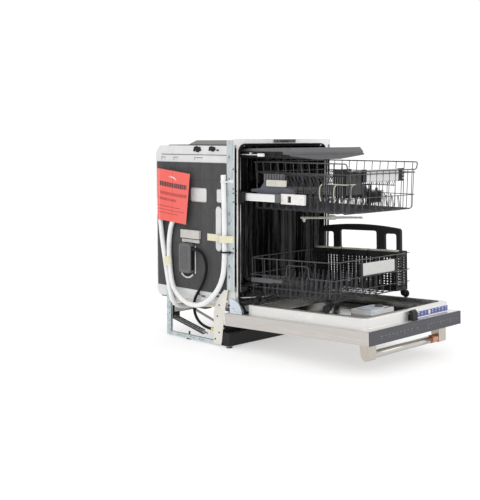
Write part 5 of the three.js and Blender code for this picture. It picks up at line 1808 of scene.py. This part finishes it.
def add_door_skin():
    dress("door_outer_panel", STEEL_Y, 0.7)
    hems = Form()
    for x in (0.9, WIDTH - 0.9):
        hems.rod((x, PANEL.y0 + 3, PANEL.z0 + 1.2), (x, PANEL.y1 - 3, PANEL.z0 + 1.2), 0.9, 12)
    show("skin_hems", hems, RIM_STEEL, "door", "stainless", LEANING)
    screws = Form()
    for x in (15, WIDTH - 15):
        for y in spread(-640, -120, 5):
            screws.lathe((x, y, DECK), [(3.4, 0), (3.2, 0.9), (1.6, 1.3), (1.4, 0.6)], "z", 14)
    show("liner_screws", screws, FRAME_STEEL, "door", "aluminium", LEANING)
    dimples = Form()
    for side in (RIM.x0, RIM.x1):
        for y in (-75, -88, -123, -560):
            start = side - 0.3 if side < MID else side - 0.5
            dimples.lathe((start, y, 156), [(3.2, 0), (3.2, 0.8)], "x", 14)
    show("rim_rivets", dimples, ALUMINIUM, "door", "aluminium", LEANING, bevel=0.25)


def add_bottom_seal():
    """A rubber lip along the rim's back, turned up at both ends beside the hinge arms."""
    seal = Form()
    y = RIM.y1 + 5
    seal.wire([(34, y, DECK + 7), (WIDTH - 34, y, DECK + 7)], 4.4, 14)
    ends = Form()
    hook = [(26, -14, 188), (25, -24, 184), (24, -34, 173), (23.5, -40, 161), (23.5, -40, DECK + 1.5)]
    ends.wire(smooth_path(hook, 4), 5.2, 14)
    ends.box(17, 34, y - 2, y + 7, DECK + 0.4, DECK + 12)
    show("bottom_seal", seal, RUBBER, "door", "rubber", LEANING)
    show("bottom_seal_ends", doubled(ends), RUBBER, "door", "rubber", LEANING, bevel=0.8)


def add_hinge_arms():
    """Fins of a quarter disc, upright at the back and round at the front, with a few holes and a pin."""
    foot = span("hinge_arm_left", LEANING).z0
    y = HINGE_Y + 6
    outline = [(y + 8, foot), (y + 8, foot + 58), *arc(y, foot, 60, 90, 180, 18)]
    fin, holes, pins = Form().prism(outline, 3.5, 7, "x"), Form(), Form()
    for y, z, r in ((-1, foot + 10, 1.8), (-18, foot + 9, 1.8), (-32, foot + 8, 1.8), (8, foot + 22, 2.4)):
        holes.lathe((1, y, z), [(r, 0), (r, 10)], "x", 16)
    pins.lathe((1.2, 33, foot + 32), [(4, 0), (5.4, 0.6), (5.4, 2.4)], "x", 24)
    pins.box(3.6, 18, -38, 24, foot, foot + 1.6)
    show_pair("hinge_fin", fin, FIN_PAINT, "door", "galvanised", holes, ["hinge_arm"], space=LEANING,
              bevel=0.5)
    show("hinge_pins", doubled(pins), BLACK_STEEL, "door", "black_steel", LEANING, bevel=0.3)


def add_control_face():
    """The face along the door's front edge, with faint generic key marks in two groups."""
    dress("control_panel", CONTROL, 0.8)
    y = PANEL.y0 - 4.3
    marks = Form()

    def mark(x, z, w, h):
        marks.box(x - w / 2, x + w / 2, y - 0.25, y + 0.1, z - h / 2, z + h / 2)

    for i, x in enumerate(spread(72, 262, 9)):
        mark(x, 124, (11, 7, 9)[i % 3], 2.2)
        if i % 2 == 0:
            mark(x, 117, 6, 1.8)
    mark(300, 122, 5, 5)
    for i, x in enumerate(spread(372, 548, 9)):
        mark(x, 125, (7, 11, 8)[i % 3], 2.2)
        if i in (0, 4, 7):
            mark(x, 117, 8, 1.8)
    mark(372, 110, 6, 2)
    mark(572, 122, 14, 2)
    show("key_marks", marks, MARK, "door", "control_slate", LEANING)


def add_rim_strip():
    """A guide strip with generic patches on the rim's front, and a blank sticker on its left side."""
    strip, white, pink = Form(), Form(), Form()
    y = RIM.y0
    strip.box(347, 560, y - 0.5, y + 0.2, 153, 174)
    for i, x in enumerate(spread(358, 549, 9)):
        white.box(x - 6, x + 4, y - 0.7, y, 168.5, 170.5 if i % 3 else 171.5)
        pink.box(x - 5, x + 5, y - 0.7, y, 156, 157.6)
        (white if i % 3 == 1 else pink).box(x - 7, x + 5, y - 0.7, y, 162, 164)
    white.box(423, 437, y - 0.75, y, 156, 172)
    show("guide_strip", strip, STRIP_BLUE, "door", "tag_paper", LEANING)
    show("guide_patches", white, WHITE, "door", "tag_paper", LEANING)
    show("guide_bars", pink, STRIP_PINK, "door", "tag_paper", LEANING)
    sticker = Form().box(RIM.x0 - 0.5, RIM.x0 + 0.2, -408, -309, 156, 179)
    show("rim_sticker", sticker, WHITE, "door", "tag_paper", LEANING)


def add_latch():
    dress("door_latch", BLACK, 0.8)
    pocket = Form().box(LATCH.x0 - 1, LATCH.x1 + 1, -683, -658, DECK + 0.2, DECK + 3)
    pocket.box(LATCH.x0, LATCH.x1, -658.6, RIM.y0 + 0.2, DECK + 2, DECK + 22)
    show("latch_pocket", pocket, BLACK, "door", "black_plastic", LEANING, bevel=0.6)


def add_handle():
    """A round bar between two brackets, with a copper ferrule at its right end."""
    y, z = (BAR.y0 + BAR.y1) / 2, (BAR.z0 + BAR.z1) / 2
    r = (BAR.y1 - BAR.y0) / 2
    length = BAR.x1 - BAR.x0
    profile = [(r - 0.6, 0), (r, 0.6), (r, length - 0.6), (r - 0.6, length)]
    bar = Form().lathe((BAR.x0, y, z), profile, "x", 48)
    show("handle_tube", bar, BAR_STEEL, "door", "stainless", LEANING, replaces=["handle_bar"], sharp=50)
    big, length = r + 2, FERRULE.x1 - FERRULE.x0
    profile = [(big - 1, 0), (big, 0.8), (big, 5), (big - 0.7, 5.5), (big - 0.7, 6.5), (big, 7),
               (big, length - 0.8), (big - 1, length)]
    collar = Form().lathe((FERRULE.x0, y, z), profile, "x", 48)
    show("handle_collar", collar, COPPER, "door", "copper", LEANING, ["handle_ferrule"], sharp=40)
    for side in ("left", "right"):
        dress("handle_bracket_" + side, BRACKET, 1.2)
    screws = Form()
    for x in (BAR.x0 - 22, WIDTH - BAR.x0 + 22):
        screws.lathe((x, y, z - 12.6), [(2.2, 0.4), (4.4, -0.4), (4.4, 0.6)], "z", 16)
    show("handle_screws", screws, BLACK_STEEL, "door", "black_steel", LEANING)


def add_dispenser():
    dress("dispenser_housing", HOUSING_LIT_WHITE, 1.0)
    dress("dispenser_lid", LID_BLUE, 0.8)
    dress("rinse_cap", GREY, 0.6)
    trim, dark = Form(), Form()
    top = HOUSING.z1
    x, y = (CAP.x0 + CAP.x1) / 2, (CAP.y0 + CAP.y1) / 2
    ring = [(x + 21 * math.cos(a), y + 21 * math.sin(a), top) for a in round_angles(32)]
    trim.wire(ring, 1.4, 8, closed=True)
    trim.box(HOUSING.x0 + 96, HOUSING.x1 - 10, HOUSING.y0 + 8, HOUSING.y0 + 22, top - 0.5, top + 1.4)
    dark.box(LID.x0 + 26, LID.x1 - 26, LID.y1 + 2, LID.y1 + 12, top - 0.5, top + 0.15)
    dark.box(HOUSING.x0 + 100, HOUSING.x1 - 14, HOUSING.y0 + 11, HOUSING.y0 + 19, top + 1, top + 1.8)
    outline = rounded_rectangle(HOUSING.x0 - 3, HOUSING.x1 + 3, HOUSING.y0 - 3, HOUSING.y1 + 3, 16)
    dark.rings([[(x, y, PAN_FLOOR + h) for x, y in outline] for h in (0.2, 2.2)])
    show("dispenser_trim", trim, PALE, "door", "pale_plastic", LEANING, bevel=0.4)
    show("dispenser_seals", dark, RUBBER, "door", "rubber", LEANING, bevel=0.4)
    ribs = Form()
    for y in spread(LID.y0 + 14, LID.y1 - 14, 5):
        ribs.box(LID.x0 + 12, LID.x1 - 12, y - 1, y + 1, LID.z1 - 0.2, LID.z1 + 0.8)
    show("lid_ribs", ribs, LID_BLUE, "lid", "pale_plastic", LEANING, bevel=0.3)


# A lighter copy of the white plastic: painted light, lifting the dispenser housing out of the shade it sits
# in.
HOUSING_LIT_WHITE = moulded("housing_lit_white", (0.93, 0.93, 0.92), 0.35)
BAR_STEEL = brushed("bar_steel", (0.56, 0.54, 0.51), 0.13, "x", depth=0.05)
add_liner()
add_pan_details()
add_door_skin()
add_bottom_seal()
add_hinge_arms()
add_control_face()
add_rim_strip()
add_latch()
add_handle()
add_dispenser()
